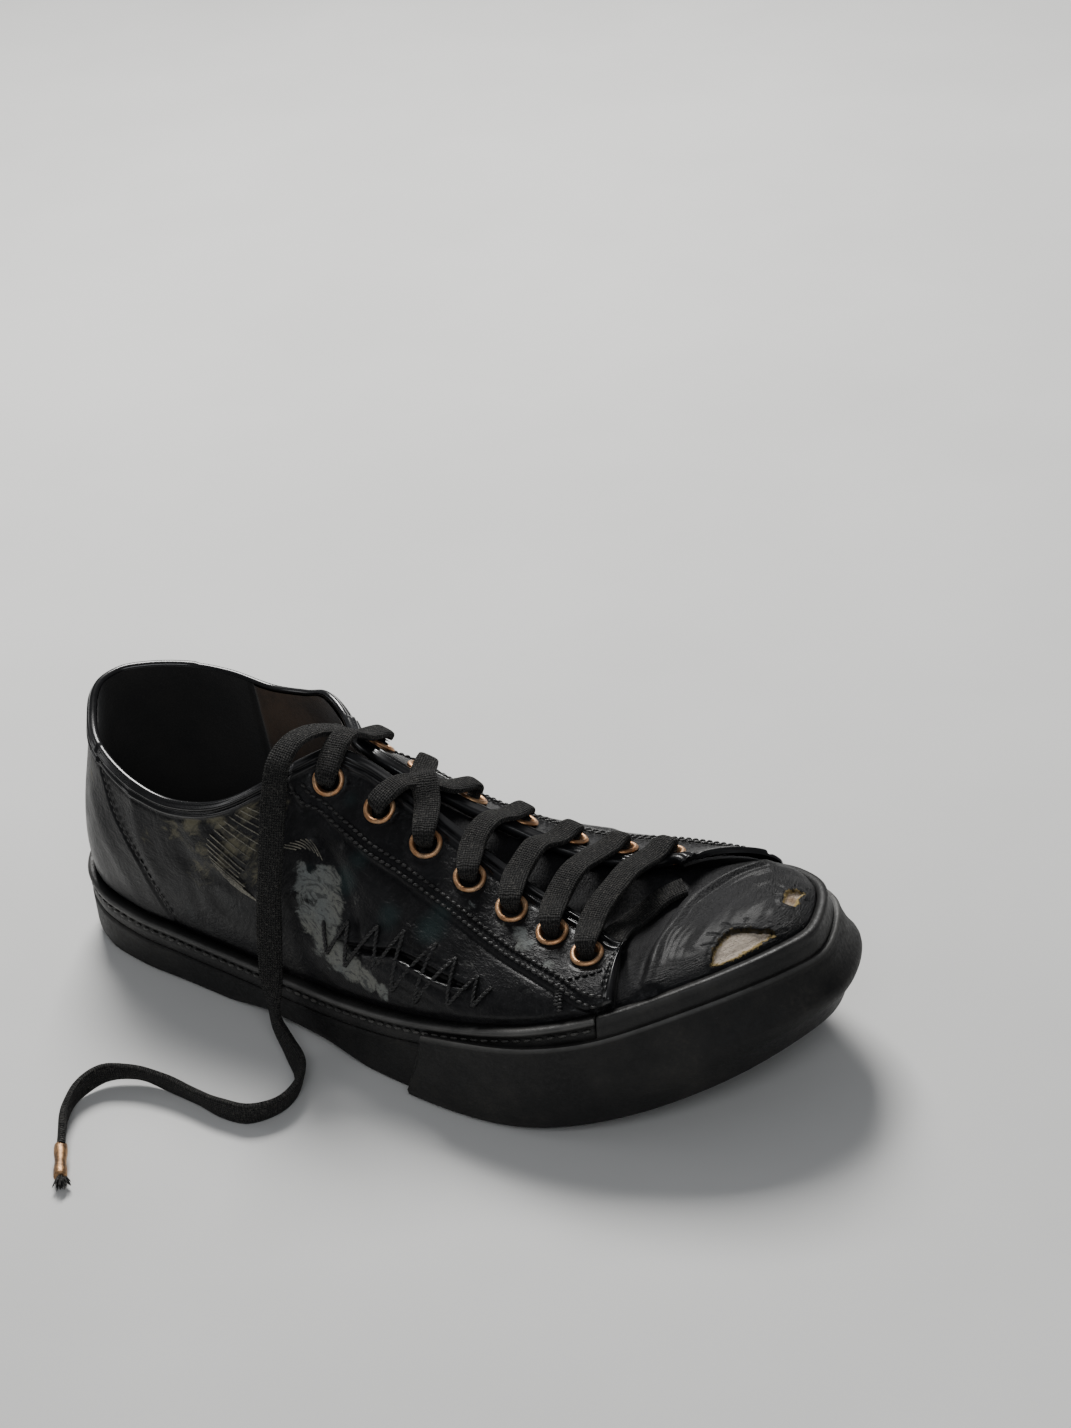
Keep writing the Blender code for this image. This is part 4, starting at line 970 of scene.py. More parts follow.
EYESTAY_SEAM = [(0.187, 4), (0.1915, 11), (0.1956, 16.1), (0.211, 21.9), (0.2315, 23.8),
                (0.2511, 22.8), (0.2694, 22.4), (0.2881, 22.5), (0.3085, 23.4), (0.3294, 24.6),
                (0.3464, 25), (0.3672, 24.8), (0.3838, 25.1), (0.392, 25.5)]
COUNTER_SEAM = [(0.0665, 0), (0.0829, 16), (0.0919, 21.7), (0.1015, 28.3), (0.1086, 36.9),
                (0.1158, 46.1), (0.119, 56)]
GASH = [(0.2285, 55), (0.236, 53.8), (0.25, 49.6), (0.2645, 44.2), (0.275, 42.7),
        (0.288, 41.6), (0.3, 40.2), (0.3098, 38.6)]
GASH_TAPER = [0, 0.5, 0.75, 0.7, 1, 1, 0.6, 0]
SIDE_FOLDS = [
    # marks along the fold, height in mm, half width in mm
    ([(0.205, 30), (0.222, 36), (0.236, 46), (0.243, 56)], -1.3, 2.6),
    ([(0.222, 28), (0.24, 33), (0.262, 36), (0.285, 35.5)], 0.9, 3),
    ([(0.246, 57), (0.262, 52), (0.284, 48.5), (0.305, 47)], 0.8, 2.6),
    ([(0.15, 34), (0.168, 44), (0.19, 52), (0.215, 58)], -0.8, 4),
    ([(0.13, 18), (0.15, 25), (0.172, 32), (0.195, 37)], -0.7, 3.6),
    ([(0.128, 8), (0.134, 16), (0.137, 28), (0.141, 44)], -0.4, 3),
    ([(0.15, 8), (0.157, 15), (0.16, 24)], -0.35, 2.6),
    ([(0.1, 5), (0.104, 18), (0.113, 30)], 0.6, 3.4),
    ([(0.3, 28), (0.316, 33), (0.335, 35), (0.352, 33)], -0.15, 2.4),
    ([(0.32, 27.5), (0.338, 30), (0.352, 30.5)], 0.12, 2.2),
    ([(0.18, 40), (0.198, 47), (0.216, 50.5)], 0.8, 2.4),
    ([(0.06, 20), (0.078, 30), (0.092, 42)], 0.5, 4),
    ([(0.02, 22), (0, 34), (-0.02, 30)], -0.6, 4.5),
    ([(0.86, 12), (0.874, 26), (0.884, 44)], -0.8, 3.6),
    ([(0.8, 24), (0.78, 36), (0.756, 46)], -1, 3.4),
    ([(0.74, 26), (0.716, 34), (0.69, 36)], 0.9, 3),
    ([(0.83, 14), (0.812, 30), (0.796, 48)], 0.7, 3.6),
    ([(0.668, 28), (0.648, 32), (0.628, 33)], -0.8, 2.6),
]

# Two rows of piping and their grooves: height, distance down, half width
PIPING = [(0.0009, 0.0012, 0.0009), (0.0009, 0.0036, 0.0009), (-0.0004, 0.0024, 0.0005),
          (-0.0003, 0.0052, 0.0007)]

# Worn, stained and tinted spots: marks, radius in mm, strength
PALE_SPOTS = [(0.2014, 40, 5, 0.7), (0.206, 45, 7, 0.9), (0.214, 42, 8, 1),
              (0.22, 48, 8, 1), (0.209, 54, 7, 0.9), (0.22, 56, 8, 0.9),
              (0.229, 60, 7, 1), (0.239, 60.5, 6, 1), (0.25, 59.5, 5, 1),
              (0.26, 59, 4, 0.9), (0.2172, 62, 5, 0.7), (0.233, 39, 5, 0.5)]
WORN_SPOTS = [(0.3085, 16.6, 3, 0.6), (0.32, 16.1, 4.5, 0.7), (0.3435, 20.4, 3, 0.6),
              (0.326, 18.1, 4.5, 0.7), (0.29, 17, 3.5, 0.5), (0.27, 17.5, 3, 0.4),
              (0.36, 19, 4, 0.3), (0.387, 3, 2, 0.2), (0.387, 14, 2.2, 0.2),
              (0.305, 33, 5, 0.4), (0.59, 6, 2.5, 0.5), (0.59, 14, 2.5, 0.5),
              (0.34, 31, 5, 0.45), (0.78, 30, 9, 0.4), (0.93, 30, 9, 0.4)]
BROWN_SPOTS = [(0.1385, 6, 6, 0.8), (0.1519, 4.8, 7, 0.9), (0.1706, 7, 6, 0.9),
               (0.1844, 10.1, 5, 0.8), (0.128, 8.4, 6, 0.7), (0.161, 14.2, 7, 0.9),
               (0.143, 15, 6, 0.7), (0.1427, 22.7, 7, 0.7), (0.1783, 30.4, 7, 0.8),
               (0.156, 22, 6, 0.7), (0.172, 20, 7, 0.8), (0.11, 14, 6, 0.5),
               (0.166, 29, 6, 0.7), (0.06, 12, 8, 0.45), (0.9, 14, 9, 0.5),
               (0.85, 16, 7, 0.5)]
TEAL_SPOTS = [(0.2257, 36.1, 7, 0.8), (0.2302, 27.6, 6, 0.7), (0.2156, 13.1, 5, 0.6),
              (0.2772, 30.9, 8, 0.8), (0.2782, 25.5, 6, 0.7), (0.255, 36, 7, 0.7),
              (0.205, 40, 5, 0.6), (0.13, 40, 9, 0.5)]


def seam_edge(table, around):
    """Distance down of a seam that runs along the shoe, in metres."""
    rows = np.array(table)
    return np.interp(around, rows[:, 0], rows[:, 1]) / 1000.0


def outer_share(around):
    """The same place on the outer side for a place on the inner side."""
    wrapped = np.mod(around, 1.0)
    return np.where(wrapped < 0.5, wrapped, np.where(wrapped > 0.8, 1.0 - wrapped,
                                                    MIRROR - wrapped))


def crease(points, marks, height, width, count=40):
    """Lift of a soft fold or groove along marks, from its height and half width in mm."""
    return height / 1000.0 * bump(reach_from(points, mark_line(marks, count)), width / 1000.0)


def quarter_relief(around, down, points):
    """How far the quarters' leather stands out over its inner layer, and its looks."""
    side = outer_share(around)
    lift = np.full(down.shape, 0.0008)
    counter_at = np.interp(down * 1000.0, [row[1] for row in COUNTER_SEAM],
                           [row[0] for row in COUNTER_SEAM])
    past = (side - counter_at) * RIM_LENGTH
    lift += 0.0005 * ramp(past, 0.0005, -0.0005) - 0.0003 * bump(past - 0.0004, 0.0007)
    under = down - seam_edge(EYESTAY_SEAM, side) - 0.0017
    stay = 0.0007 * ramp(under, 0.0004, -0.0004) - 0.0004 * bump(under - 0.0005, 0.0008)
    lift += np.where((side > 0.187) & (side < 0.4), stay, 0.0)
    for height, at, width in PIPING:
        lift += height * bump(down - at, width)
    for fold in SIDE_FOLDS:
        lift += crease(points, *fold)
    gash_rows = np.array(GASH)
    away = reach_from(points, mark_line(GASH, 60))
    wrapped = np.mod(around, 1.0)
    along = np.interp(wrapped, gash_rows[:, 0], GASH_TAPER)
    lift -= 0.004 * np.exp(-(away / (0.0003 + 0.0008 * along)) ** 4) * (0.3 + 0.7 * along)
    lip = along * (seam_edge(GASH, wrapped) < down) * bump(away - 0.0018, 0.0006)
    lift += along * (0.001 * bump(away - 0.0021, 0.0009) + 0.0005 * bump(away - 0.0048, 0.0016))
    lift += 0.0005 * lip
    # Painted shade inside the gash's slit.
    painted_shade = ramp(away, 0.0005 + 0.001 * along, 0.0002 + 0.0006 * along)
    for seat, normal in SEATS[0] + SEATS[1]:
        rest = points - seat
        out = np.linalg.norm(rest - (rest @ normal)[..., None] * normal, axis=-1)
        near = np.linalg.norm(rest, axis=-1) < 0.009
        lift -= near * (0.0032 * ramp(out, 0.0043, 0.0036) + 0.0002 * bump(out - 0.006, 0.0009))
        # Painted shade inside the eyelet holes.
        painted_shade = np.maximum(painted_shade, near * ramp(out, 0.0042, 0.0035))
    return lift, painted_shade, lip


def spots_mask(points, table):
    """Soft round areas: marks, radius in mm, strength."""
    mask = np.zeros(points.shape[:-1])
    for around, down, radius, strength in table:
        centre = surface(around, down / 1000.0)[0][0]
        mask = np.maximum(mask, strength * bump(np.linalg.norm(points - centre, axis=-1),
                                                radius / 1000.0))
    return mask


def far_curl(around, downs):
    """How far the far flap's front corner curls up."""
    return 0.0036 * ramp(around, 0.634, 0.592) * ramp(downs, 0.036, 0.004) * (around < 0.7)


def with_last(values):
    return np.concatenate([values, values[:, -1:]], axis=1)


def make_quarters():
    """The leather round the heel and both flaps, from one flap's front edge to the other."""
    stations = np.unique(np.concatenate([np.linspace(*row) for row in (
        (0.591, 0.64, 56), (0.64, 0.82, 130), (0.82, 1.0, 96), (1.0, 1.17, 170),
        (1.17, 1.3884, 300))]))
    lengths = skin(stations, np.zeros((len(stations), 1)))[1]
    fine = np.linspace(0.0, 0.006, 17)
    rest = np.linspace(0.0, 1.0, 93)[1:]
    downs = np.hstack([np.tile(fine, (len(stations), 1)),
                       fine[-1] + rest * (lengths[:, None] - fine[-1])])
    points, _ = skin(stations, downs)
    normals = grid_normals(points)
    around = np.repeat(stations[:, None], downs.shape[1], axis=1)
    lift, painted_shade, lip = quarter_relief(around, downs, points)
    low = ramp(lengths[:, None] - downs, 0.0, 0.003)
    ends = (np.minimum(stations - stations[0], stations[-1] - stations) * RIM_LENGTH * 0.8)[:, None]
    roll = np.sqrt(1 - np.clip(1 - ends / 0.0012, 0.0, 1.0) ** 2)
    hem = 0.0006 * bump(ends - 0.0014, 0.001) - 0.0003 * bump(ends - 0.0034, 0.0007)
    curl = far_curl(around, downs) + 0.001 * ramp(around, 1.372, 1.388) * ramp(downs, 0.02, 0.002)
    lift = lift * low * (0.25 + 0.75 * roll) + hem * low + curl
    outer = points + normals * lift[..., None]
    inner_top = points[:, 0] + normals[:, 0] * (curl[:, :1] - WALL)
    rise = unit(points[:, 0] - points[:, 2])
    middle, half = (outer[:, 0] + inner_top) / 2, (outer[:, 0] - inner_top) / 2
    size = np.linalg.norm(half, axis=1)[:, None]
    turns = np.linspace(math.pi, 0.0, 9)[:-1]
    edge = np.stack([middle + half * math.cos(t) + rise * size * 0.85 * math.sin(t) for t in turns], 1)
    foot = ring(stations, UPPER_INSET, lambda x: rand_top(x) - 0.004)[:, None]
    whole = np.concatenate([edge, outer, foot], axis=1)

    def padded(values, first=0.0):
        before = np.full((len(stations), len(turns)), first)
        return np.concatenate([before, with_last(values)], axis=1)

    bead = np.maximum(ramp(downs, 0.0052, 0.0042), ramp(ends, 0.0036, 0.0028))
    worn = np.maximum(spots_mask(points, WORN_SPOTS), spots_mask(points, PALE_SPOTS))
    flat = with_last(np.stack([around * RIM_LENGTH, downs, 0 * downs], axis=2))
    flat = np.concatenate([np.repeat(flat[:, :1], len(turns), axis=1), flat], axis=1)
    make_mesh("quarters", whole, grid_faces(*whole.shape[:2]), "black_leather", ("upper",),
              {"wear": padded(worn), "brown": padded(spots_mask(points, BROWN_SPOTS)),
               "teal": padded(spots_mask(points, TEAL_SPOTS)), "painted_shade": padded(painted_shade),
               "bead": padded(np.maximum(bead, lip), 1.0)}, flat)
    make_lining(stations, lengths)


def make_lining(stations, lengths):
    """The lining, with the brown panel on the inner side."""
    steps = np.linspace(0.0, 1.0, 26)
    downs = lengths[:, None] * steps[None]
    points, _ = skin(stations, downs)
    around = np.repeat(stations[:, None], len(steps), axis=1)
    sag = 0.0012 * np.sin(math.pi * steps)[None] * (np.abs(np.mod(around, 1.0) - 0.5) > 0.2)
    seam = 0.8925 - 0.0045 * downs / 0.03
    panel = ramp(around, seam + 0.001, seam - 0.001) * (around > 0.7)
    depth = WALL + sag - far_curl(around, downs) + 0.0008 * panel
    depth -= 0.0007 * bump((around - seam) * RIM_LENGTH - 0.0016, 0.001)
    foot = ring(stations, LINING_INSET + 0.0004, lambda x: footbed(x) + 0.0006)[:, None]
    whole = np.concatenate([points - grid_normals(points) * depth[..., None], foot], axis=1)
    make_mesh("lining", whole[:, ::-1], grid_faces(*whole.shape[:2]), ("black_leather", "lining"), (),
              {"panel": with_last(panel)[:, ::-1]})


# The toe's ridge and its torn places

BIG_HOLE = [(0.4385, 34.3), (0.4426, 32), (0.4496, 30.9), (0.4573, 30.6), (0.4662, 31.9),
            (0.4722, 35.3), (0.476, 39.7), (0.4794, 42.4), (0.48, 44.6), (0.4733, 43.8),
            (0.4652, 42.2), (0.4573, 40.4), (0.448, 38.2), (0.4425, 36.4)]
SMALL_HOLE = [(0.5207, 39.3), (0.5268, 39), (0.5313, 40.8), (0.5322, 43.7), (0.5236, 44.4),
              (0.5126, 44.6), (0.5119, 41.7)]
RIDGE_BACK = [(0.4022, 22.3), (0.4111, 15.4), (0.4375, 8.6), (0.478, 5), (0.519, 4),
              (0.5453, 6.2), (0.5573, 11.8), (0.5694, 18.3), (0.5751, 24.3)]
RIDGE_FRONT = [(0.4109, 24), (0.4253, 16.6), (0.4763, 12.4), (0.5156, 12), (0.5407, 16.1),
               (0.5568, 21.5), (0.5651, 26.9)]
RIDGE_TOP = [(0.406, 24), (0.418, 15.8), (0.456, 10.2), (0.498, 8.3), (0.53, 8.9),
             (0.55, 13.8), (0.563, 20), (0.57, 26)]
VAMP_FOLDS = [
    # marks along the fold, height in mm, half width in mm
    ([(0.402, 30), (0.405, 38), (0.412, 46)], 1.1, 2.4),
    ([(0.396, 26), (0.398, 36), (0.403, 46)], -0.9, 1.8),
    ([(0.414, 26), (0.42, 34), (0.43, 42)], -0.7, 1.8),
    ([(0.424, 22), (0.432, 28), (0.44, 31)], 0.6, 2),
    ([(0.44, 17.5), (0.465, 16), (0.49, 15.6), (0.515, 16.5)], 0.5, 1.4),
    ([(0.436, 21), (0.46, 19.8), (0.49, 19.6), (0.52, 20.8)], -0.5, 1.3),
    ([(0.44, 25), (0.465, 23.2), (0.495, 23.6), (0.525, 25.4)], 0.45, 1.4),
    ([(0.47, 28), (0.495, 27.2), (0.52, 29.5), (0.54, 33)], -0.5, 1.4),
    ([(0.48, 33), (0.5, 33.5), (0.516, 36)], 0.5, 1.6),
    ([(0.484, 39), (0.5, 38.5), (0.512, 40.5)], -0.5, 1.4),
    ([(0.536, 28), (0.54, 36), (0.538, 44)], 0.6, 1.8),
    ([(0.548, 26), (0.553, 35), (0.552, 44)], -0.7, 2),
    ([(0.562, 30), (0.568, 38), (0.572, 46)], 0.8, 2.2),
    ([(0.58, 28), (0.584, 38), (0.588, 46)], -0.6, 2),
    ([(0.44, 46), (0.45, 44), (0.46, 45)], 0.4, 1.5),
    ([(0.488, 46), (0.504, 46.5), (0.52, 48)], 0.4, 1.5),
]
VAMP_FOLD_SHARE = 0.26
VAMP_SPOTS = [(0.402, 36, 5, 0.55), (0.408, 28, 4, 0.5), (0.455, 9.8, 4, 0.5), (0.5, 8, 4, 0.45),
              (0.545, 12, 4, 0.5), (0.51, 33, 5, 0.35)]


def fine_creases(points):
    """Close creases beside the ridge and out from the torn places, as a lift in metres."""
    lift = np.zeros(points.shape[:-1])
    for step, height in ((2.2, -0.126), (4.6, -0.0672), (8.2, -0.0504)):
        rows = np.array(RIDGE_FRONT) + [0.0, step]
        rows[:, 0] = 0.49 + (rows[:, 0] - 0.49) * (1 - step * 0.004)
        lift += crease(points, rows, height, 0.6)
    for outline, reach in ((BIG_HOLE, 4.5), (SMALL_HOLE, 4.0)):
        rows = np.array(outline)
        for spot in rows:
            way = spot - rows.mean(axis=0)
            way = way / math.hypot(way[0] * RIM_LENGTH * 1000.0, way[1])
            line = spot + way * (0.8 + reach * np.array([0.0, 0.5, 1.0]))[:, None]
            line[1, 0] += 0.0012
            lift += crease(points, line, -0.28, 0.5, 12)
    return lift


def tongue_points(count, rows):
    """Rows across the tongue from the collar to the vamp, and the same count of points in each."""
    made = []
    tight = 0.0006
    for t in np.linspace(0.0, 1.0, rows):
        outer = OUTER_EYELETS[0] + (OUTER_EYELETS[1] - OUTER_EYELETS[0]) * t
        inner = INNER_EYELETS[0] + (INNER_EYELETS[1] - INNER_EYELETS[0]) * t
        reach = TONGUE_REACH * (1.0 - 0.6 * t * t)
        inside = TONGUE_DEPTH + tight * abs(2 * t - 1)
        left, look_left = surface([outer] * 3, [reach, reach / 2, 0.0], -inside)
        right, look_right = surface([inner] * 3, [0.0, reach / 2, reach], -inside)
        span = np.linalg.norm(right[0] - left[2])
        normal = unit(look_left[2] + look_right[0])
        crown = (left[2] + right[0]) / 2 + normal * span * (TONGUE_CROWN - 0.24 * t * t)
        made.append(smooth_line(np.vstack([left, crown, right]), count))
    return np.array(made)


def make_vamp():
    """The toe's leather, which flows on under the flaps as the tongue."""
    stations = np.linspace(0.379, 0.601, 330)
    lengths = skin(stations, np.zeros((len(stations), 1)))[1]
    start = 0.0025
    downs = start + np.linspace(0.0, 1.0, 96)[None] * (lengths[:, None] - start)
    points, _ = skin(stations, downs)
    under = 1 - ramp(stations, 0.3875, 0.398) * ramp(stations, 0.5915, 0.582)
    points = points - grid_normals(points) * (under * (WALL + 0.0004))[:, None, None]
    tongue = tongue_points(len(stations), 34).transpose(1, 0, 2)
    leave = (tongue[:, -1] - tongue[:, -2]) * 6.0
    arrive = (points[:, 1] - points[:, 0]) * 8.0
    t = np.linspace(0.0, 1.0, 12)[None, 1:-1, None]
    join = hermite(t, tongue[:, -1:], leave[:, None], points[:, :1], arrive[:, None])
    base = np.concatenate([tongue, join, points], axis=1)
    lift = fine_creases(base)
    for marks, height, width in ((RIDGE_TOP, 2.0, 3.6), (RIDGE_BACK, -0.8, 1.3), (RIDGE_FRONT, -0.6, 1.1)):
        lift += crease(base, marks, height, width, 60)
    for marks, height, width in VAMP_FOLDS:
        lift += crease(base, marks, height * VAMP_FOLD_SHARE, width)
    big_ring, small_ring = mark_ring(BIG_HOLE), mark_ring(SMALL_HOLE)
    big = ring_distance(base, big_ring) + 0.0005
    hole = np.minimum(big, ring_distance(base, small_ring) + 0.0006)
    lift += 0.0004 * bump(hole - 0.0012, 0.0009) - 0.0013 * ramp(hole, 0.0005, -0.0007)
    lead = base.shape[1] - points.shape[1]
    lift[:, lead:] *= ramp(lengths[:, None] - downs, 0.0, 0.004)
    shaped = base + grid_normals(base) * lift[..., None]
    foot = ring(stations, UPPER_INSET + 0.0002, lambda x: rand_top(x) - 0.004)[:, None]
    whole = np.concatenate([shaped, foot], axis=1)
    around = np.repeat(stations[:, None], whole.shape[1], axis=1)
    along = np.repeat(walk(whole[165])[None], len(stations), axis=0)
    flat = np.stack([around * RIM_LENGTH * 0.7, along, 0 * around], axis=2)
    worn = spots_mask(shaped, VAMP_SPOTS)
    away = np.array([-0.59, 0.81, 0.0]) * 0.0013
    shade = ramp(ring_distance(base + away, big_ring), -0.0006, 0.0004) * ramp(hole, 0.0012, 0.0005)
    small_shade = (ramp(ring_distance(base + away * 0.6, small_ring), -0.0005, 0.0003)
                   * ramp(hole, 0.0004, -0.0002))
    shade = np.where(big < 0.003, shade, small_shade)
    centre = bump(np.linalg.norm(shaped - small_ring.mean(axis=0), axis=-1), 0.0026)
    looks = {"hole": hole, "wear": worn, "shade": shade, "brown_liner": centre}
    make_mesh("vamp", whole, grid_faces(*whole.shape[:2]), ("black_leather", "vamp"), ("tongue",),
              {key: with_last(values) for key, values in looks.items()}, flat)


make_quarters()
make_vamp()


# Sole

SIDE_CLIMBS = (0.74, 0.64, 0.56, 0.49, 0.42, 0.36, 0.3, 0.23, 0.16)
# Outlines of the strips under their top edge: mm in, mm down, how rubbed, which also paints a highlight
# along the lip
RAND_ROWS = [(0.4, 0, 0.2), (-0.4, 0.3, 0.8), (-0.7, 0.9, 0.7), (-0.6, 1.7, 0.2), (0.1, 2.4, 0),
             (0.4, 3.1, 0), (0.5, 3.8, 0), (0.2, 4.6, 0), (0, 5.4, 0.1)]
TOE_ROWS = [(0.6, 0, 0), (0, 0.6, 0.2), (-0.3, 1.8, 0.1), (-0.6, 3, 0), (-1.4, 6, 0.1),
            (-1.6, 7, 0.3), (-0.2, 7.8, 0.1)]


def offset(base, rise):
    return lambda x: base(x) + rise


def profile_rings(stations, profile):
    """Rings across the rim's way round from rows of inset, height and lean."""
    return np.stack([ring(stations, *row) for row in profile], axis=1)


def make_round(name, stations, profile, slot, replaced, sharp=None):
    """A solid all the way round, with a flat face over its first and its last row."""
    rings = profile_rings(stations, profile)
    rows, columns = rings.shape[:2]
    faces = grid_faces(rows, columns, wrap_rows=True)
    for column, order in ((0, 1), (columns - 1, -1)):
        for k in range(rows // 2):
            corners = [k, k + 1, rows - k - 1, (rows - k) % rows]
            faces.append(tuple(dict.fromkeys(c * columns + column for c in corners))[::order])
    make_mesh(name, rings, faces, slot, replaced, sharp=sharp)


def make_band(name, rings, slot, replaced, edge, sharp=None):
    """A bar from rings of points; edge says how rubbed each point of a ring is, a pale line of edge wear
    that also stands in for a painted highlight.
    """
    make_mesh(name, rings, tube_faces(*rings.shape[:2]), slot, replaced,
              {"edge": np.tile(edge, (len(rings), 1))}, sharp=sharp)


def make_strip(name, node, start, end, count, rows, bevel):
    """A strip of the rand from its outline's rows."""
    joint = GAP / RING_LENGTH
    stations = np.linspace(start + joint, end - joint, count)
    cup, low = UPPER_INSET - GAP, offset(shelf, GAP)
    profile = [(cup, offset(rand_top, -GAP))]
    profile += [(STRIP_INSET + out / 1000.0, offset(rand_top, -GAP - fall / 1000.0))
                for out, fall, _ in rows]
    profile += [(STRIP_INSET, offset(low, bevel)), (STRIP_INSET + 0.0004, low), (cup, low)]
    # Edge wear with a painted highlight along the strip's lip.
    rubbed = [0.0] + [share for _, _, share in rows] + [0.0, 0.0, 0.0]
    make_band(name, profile_rings(stations, profile), ("black_rubber", "rand"), (node,), rubbed)


def make_sole():
    around = np.linspace(0.0, 1.0, 720, endpoint=False)
    cup = UPPER_INSET - GAP
    tread = SIDE_INSET + 0.0009
    profile = [(0.022, footbed), (cup, footbed), (cup, shelf), (SIDE_INSET + 0.0006, shelf),
               (SIDE_INSET, offset(shelf, -0.0007))]
    profile += [(SIDE_INSET, side_height(climb), toe_lean(climb))
                for climb in (0.85, *SIDE_CLIMBS, 0.08, 0.0)]
    profile += [(inset, height, BULGE_FOOT) for inset, height in (
        (tread, offset(bottom, TREAD_HEIGHT - 0.0004)), (tread, offset(bottom, TREAD_HEIGHT * 0.35)),
        (tread + 0.0012, bottom), (0.011, bottom), (0.024, bottom))]
    make_round("cup_sole", around, profile, "black_rubber", ("outsole",), 50)
    top, foot = offset(footbed, INSOLE_THICKNESS + GAP), offset(footbed, GAP)
    side = LINING_INSET + 0.0009
    bed = [(0.022, top), (side + 0.0011, top), (side, offset(top, -0.001)), (side, foot), (0.022, foot)]
    make_round("footbed_cover", around[::2], bed, "brown_leather", ("insole",))
    make_strip("stitched_rand", "rand_strip", STRIP_ENDS[1], 1.0 + STRIP_ENDS[0], 620, RAND_ROWS, 0.0008)
    make_strip("plain_toe_strip", "toe_strip", *STRIP_ENDS, 220, TOE_ROWS, 0.0006)
    make_bumper()


def make_bumper():
    start, end = BUMPER_TOPS
    slant = 0.04
    tops = np.linspace(start, end, 360)
    feet = (tops + (BUMPER_FEET[0] - start) * ramp(tops, start + slant, start)
            + (BUMPER_FEET[1] - end) * ramp(tops, end - slant, end))
    high = ring(tops, 0.0, bumper_top)[:, 2]
    low = ring(feet, 0.0, bottom, BULGE_FOOT)[:, 2] + TREAD_HEIGHT * 0.45
    profile = [(BUMPER_WALL, 1.0), (0.0013, 1.0), (0.0006, 1.01), (0.0, 0.995), (-0.0002, 0.975),
               (0.0002, 0.95), (0.0, 0.92), (0.0, 0.85)]
    profile += [(0.0, climb) for climb in (*SIDE_CLIMBS, 0.09, 0.02)]
    profile += [(0.0006, None), (BUMPER_WALL, None), (BUMPER_WALL, BULGE_AT)]
    columns = []
    for inset, climb in profile:
        share = climb or 0.0
        lean = toe_lean(share)
        at = feet + (tops - feet) * share
        z = low if climb is None else ring(at, inset, side_height(share), lean)[:, 2]
        if share > 0.8:
            z = z + (high - ring(at, inset, shelf)[:, 2]) * (share - 0.8) / 0.2
        columns.append(ring(at, inset, z, lean))
    # Edge wear with a painted highlight along the bumper's top edge.
    edge = [0.0, 0.3, 1.0, 0.5] + [0.0] * (len(profile) - 4)
    make_band("forefoot_bumper", np.stack(columns, axis=1), "black_rubber", ("toe_bumper",), edge, 60)


make_sole()


# Stitches

def stitch_row(marks, pitch, share, lift, mirror=False):
    """Starts, ends and normals of stitches at even steps along marks on the leather."""
    table = np.array(marks, float)
    if mirror:
        table[:, 0] = np.where(table[:, 0] < 0.17, 1.0 - table[:, 0], MIRROR - table[:, 0])
    points, normals = on_leather(smooth_line(metres(table), 500), lift)
    span = walk(points)
    begins = np.arange(0.0, span[-1] - pitch, pitch)
    return [columns_at(begins, span, points), columns_at(begins + pitch * share, span, points),
            columns_at(begins, span, normals)]


def sew(name, rows, radius, flat, arch=0.0002, slant=0.0, along=1.0):
    """Stitches of some rows in one mesh; slant turns them, and along 0 lays them across."""
    starts, ends, looks = (np.vstack(row) for row in zip(*rows))
    side = np.cross(looks, unit(ends - starts)) * slant
    capsules(name, starts - side, starts + (ends - starts) * along + side, looks, radius,
             ("black_leather", "thread"), flat, arch)


STAY_FIRST = [(0.1885, 9)] + EYESTAY_SEAM[1:-1]
STAY_SECOND = [(0.1928, 8), (0.1992, 15), (0.207, 17.9), (0.2306, 20.9), (0.2502, 20.1),
               (0.2677, 19.6), (0.2865, 19.8), (0.3069, 20.6), (0.3273, 21.8), (0.3448, 22.2),
               (0.3654, 22), (0.3838, 22.3)]
FLAP_ROWS = [
    # marks along the row, lift
    ([(0.38, 2), (0.3822, 6), (0.3835, 13), (0.3838, 21)], 0.0018),
    ([(0.377, 2), (0.379, 7), (0.3802, 13), (0.3806, 20)], 0.0017),
    ([(0.3588, 21.4), (0.364, 18.2), (0.3701, 15.6), (0.378, 12.4), (0.3825, 11)], 0.0017),
    ([(0.5975, 3), (0.5965, 9), (0.5955, 16), (0.595, 23)], 0.0032),
]
PITCH = 0.0024


def make_stitches():
    counter = [(around + 0.0035, down) for around, down in COUNTER_SEAM[:-1]]
    for label, mirror in (("outer", False), ("inner", True)):
        stay = [stitch_row(marks, PITCH, 0.92, 0.0019, mirror) for marks in (STAY_FIRST, STAY_SECOND)]
        sew(f"stay_stitches_{label}", stay, 0.00052, 0.85, 0.0003, 0.00035)
        sew(f"counter_stitches_{label}", [stitch_row(counter, 0.0028, 0.8, 0.0011, mirror)], 0.0003, 0.8)
    sew("flap_stitches", [stitch_row(marks, PITCH, 0.85, lift) for marks, lift in FLAP_ROWS], 0.00042, 0.8)
    bars = [stitch_row([(0.356 + s, 24.0), (0.36 + s, 31.0)], 0.0011, 0.9, 0.0012)
            for s in (0.0, 0.0022)]
    sew("bartack", bars, 0.00045, 0.8, slant=0.001, along=0.0)


def make_rand_stitches():
    """Dashed thread in the rand's groove, about 4 mm apart."""
    pitch = 0.004 / RIM_LENGTH
    begins = np.arange(STRIP_ENDS[1] + 0.004, 1.0 + STRIP_ENDS[0] - 0.006, pitch)
    height = offset(rand_top, -GAP - 0.0038)
    proud = STRIP_INSET + 0.00005
    normals = unit(ring(begins, 0.0, 0.0) - ring(begins, 0.004, 0.0))
    capsules("rand_stitches", ring(begins, proud, height), ring(begins + pitch * 0.72, proud, height),
             normals, 0.00055, ("black_rubber", "rand_thread"), 0.8, 0.0001)


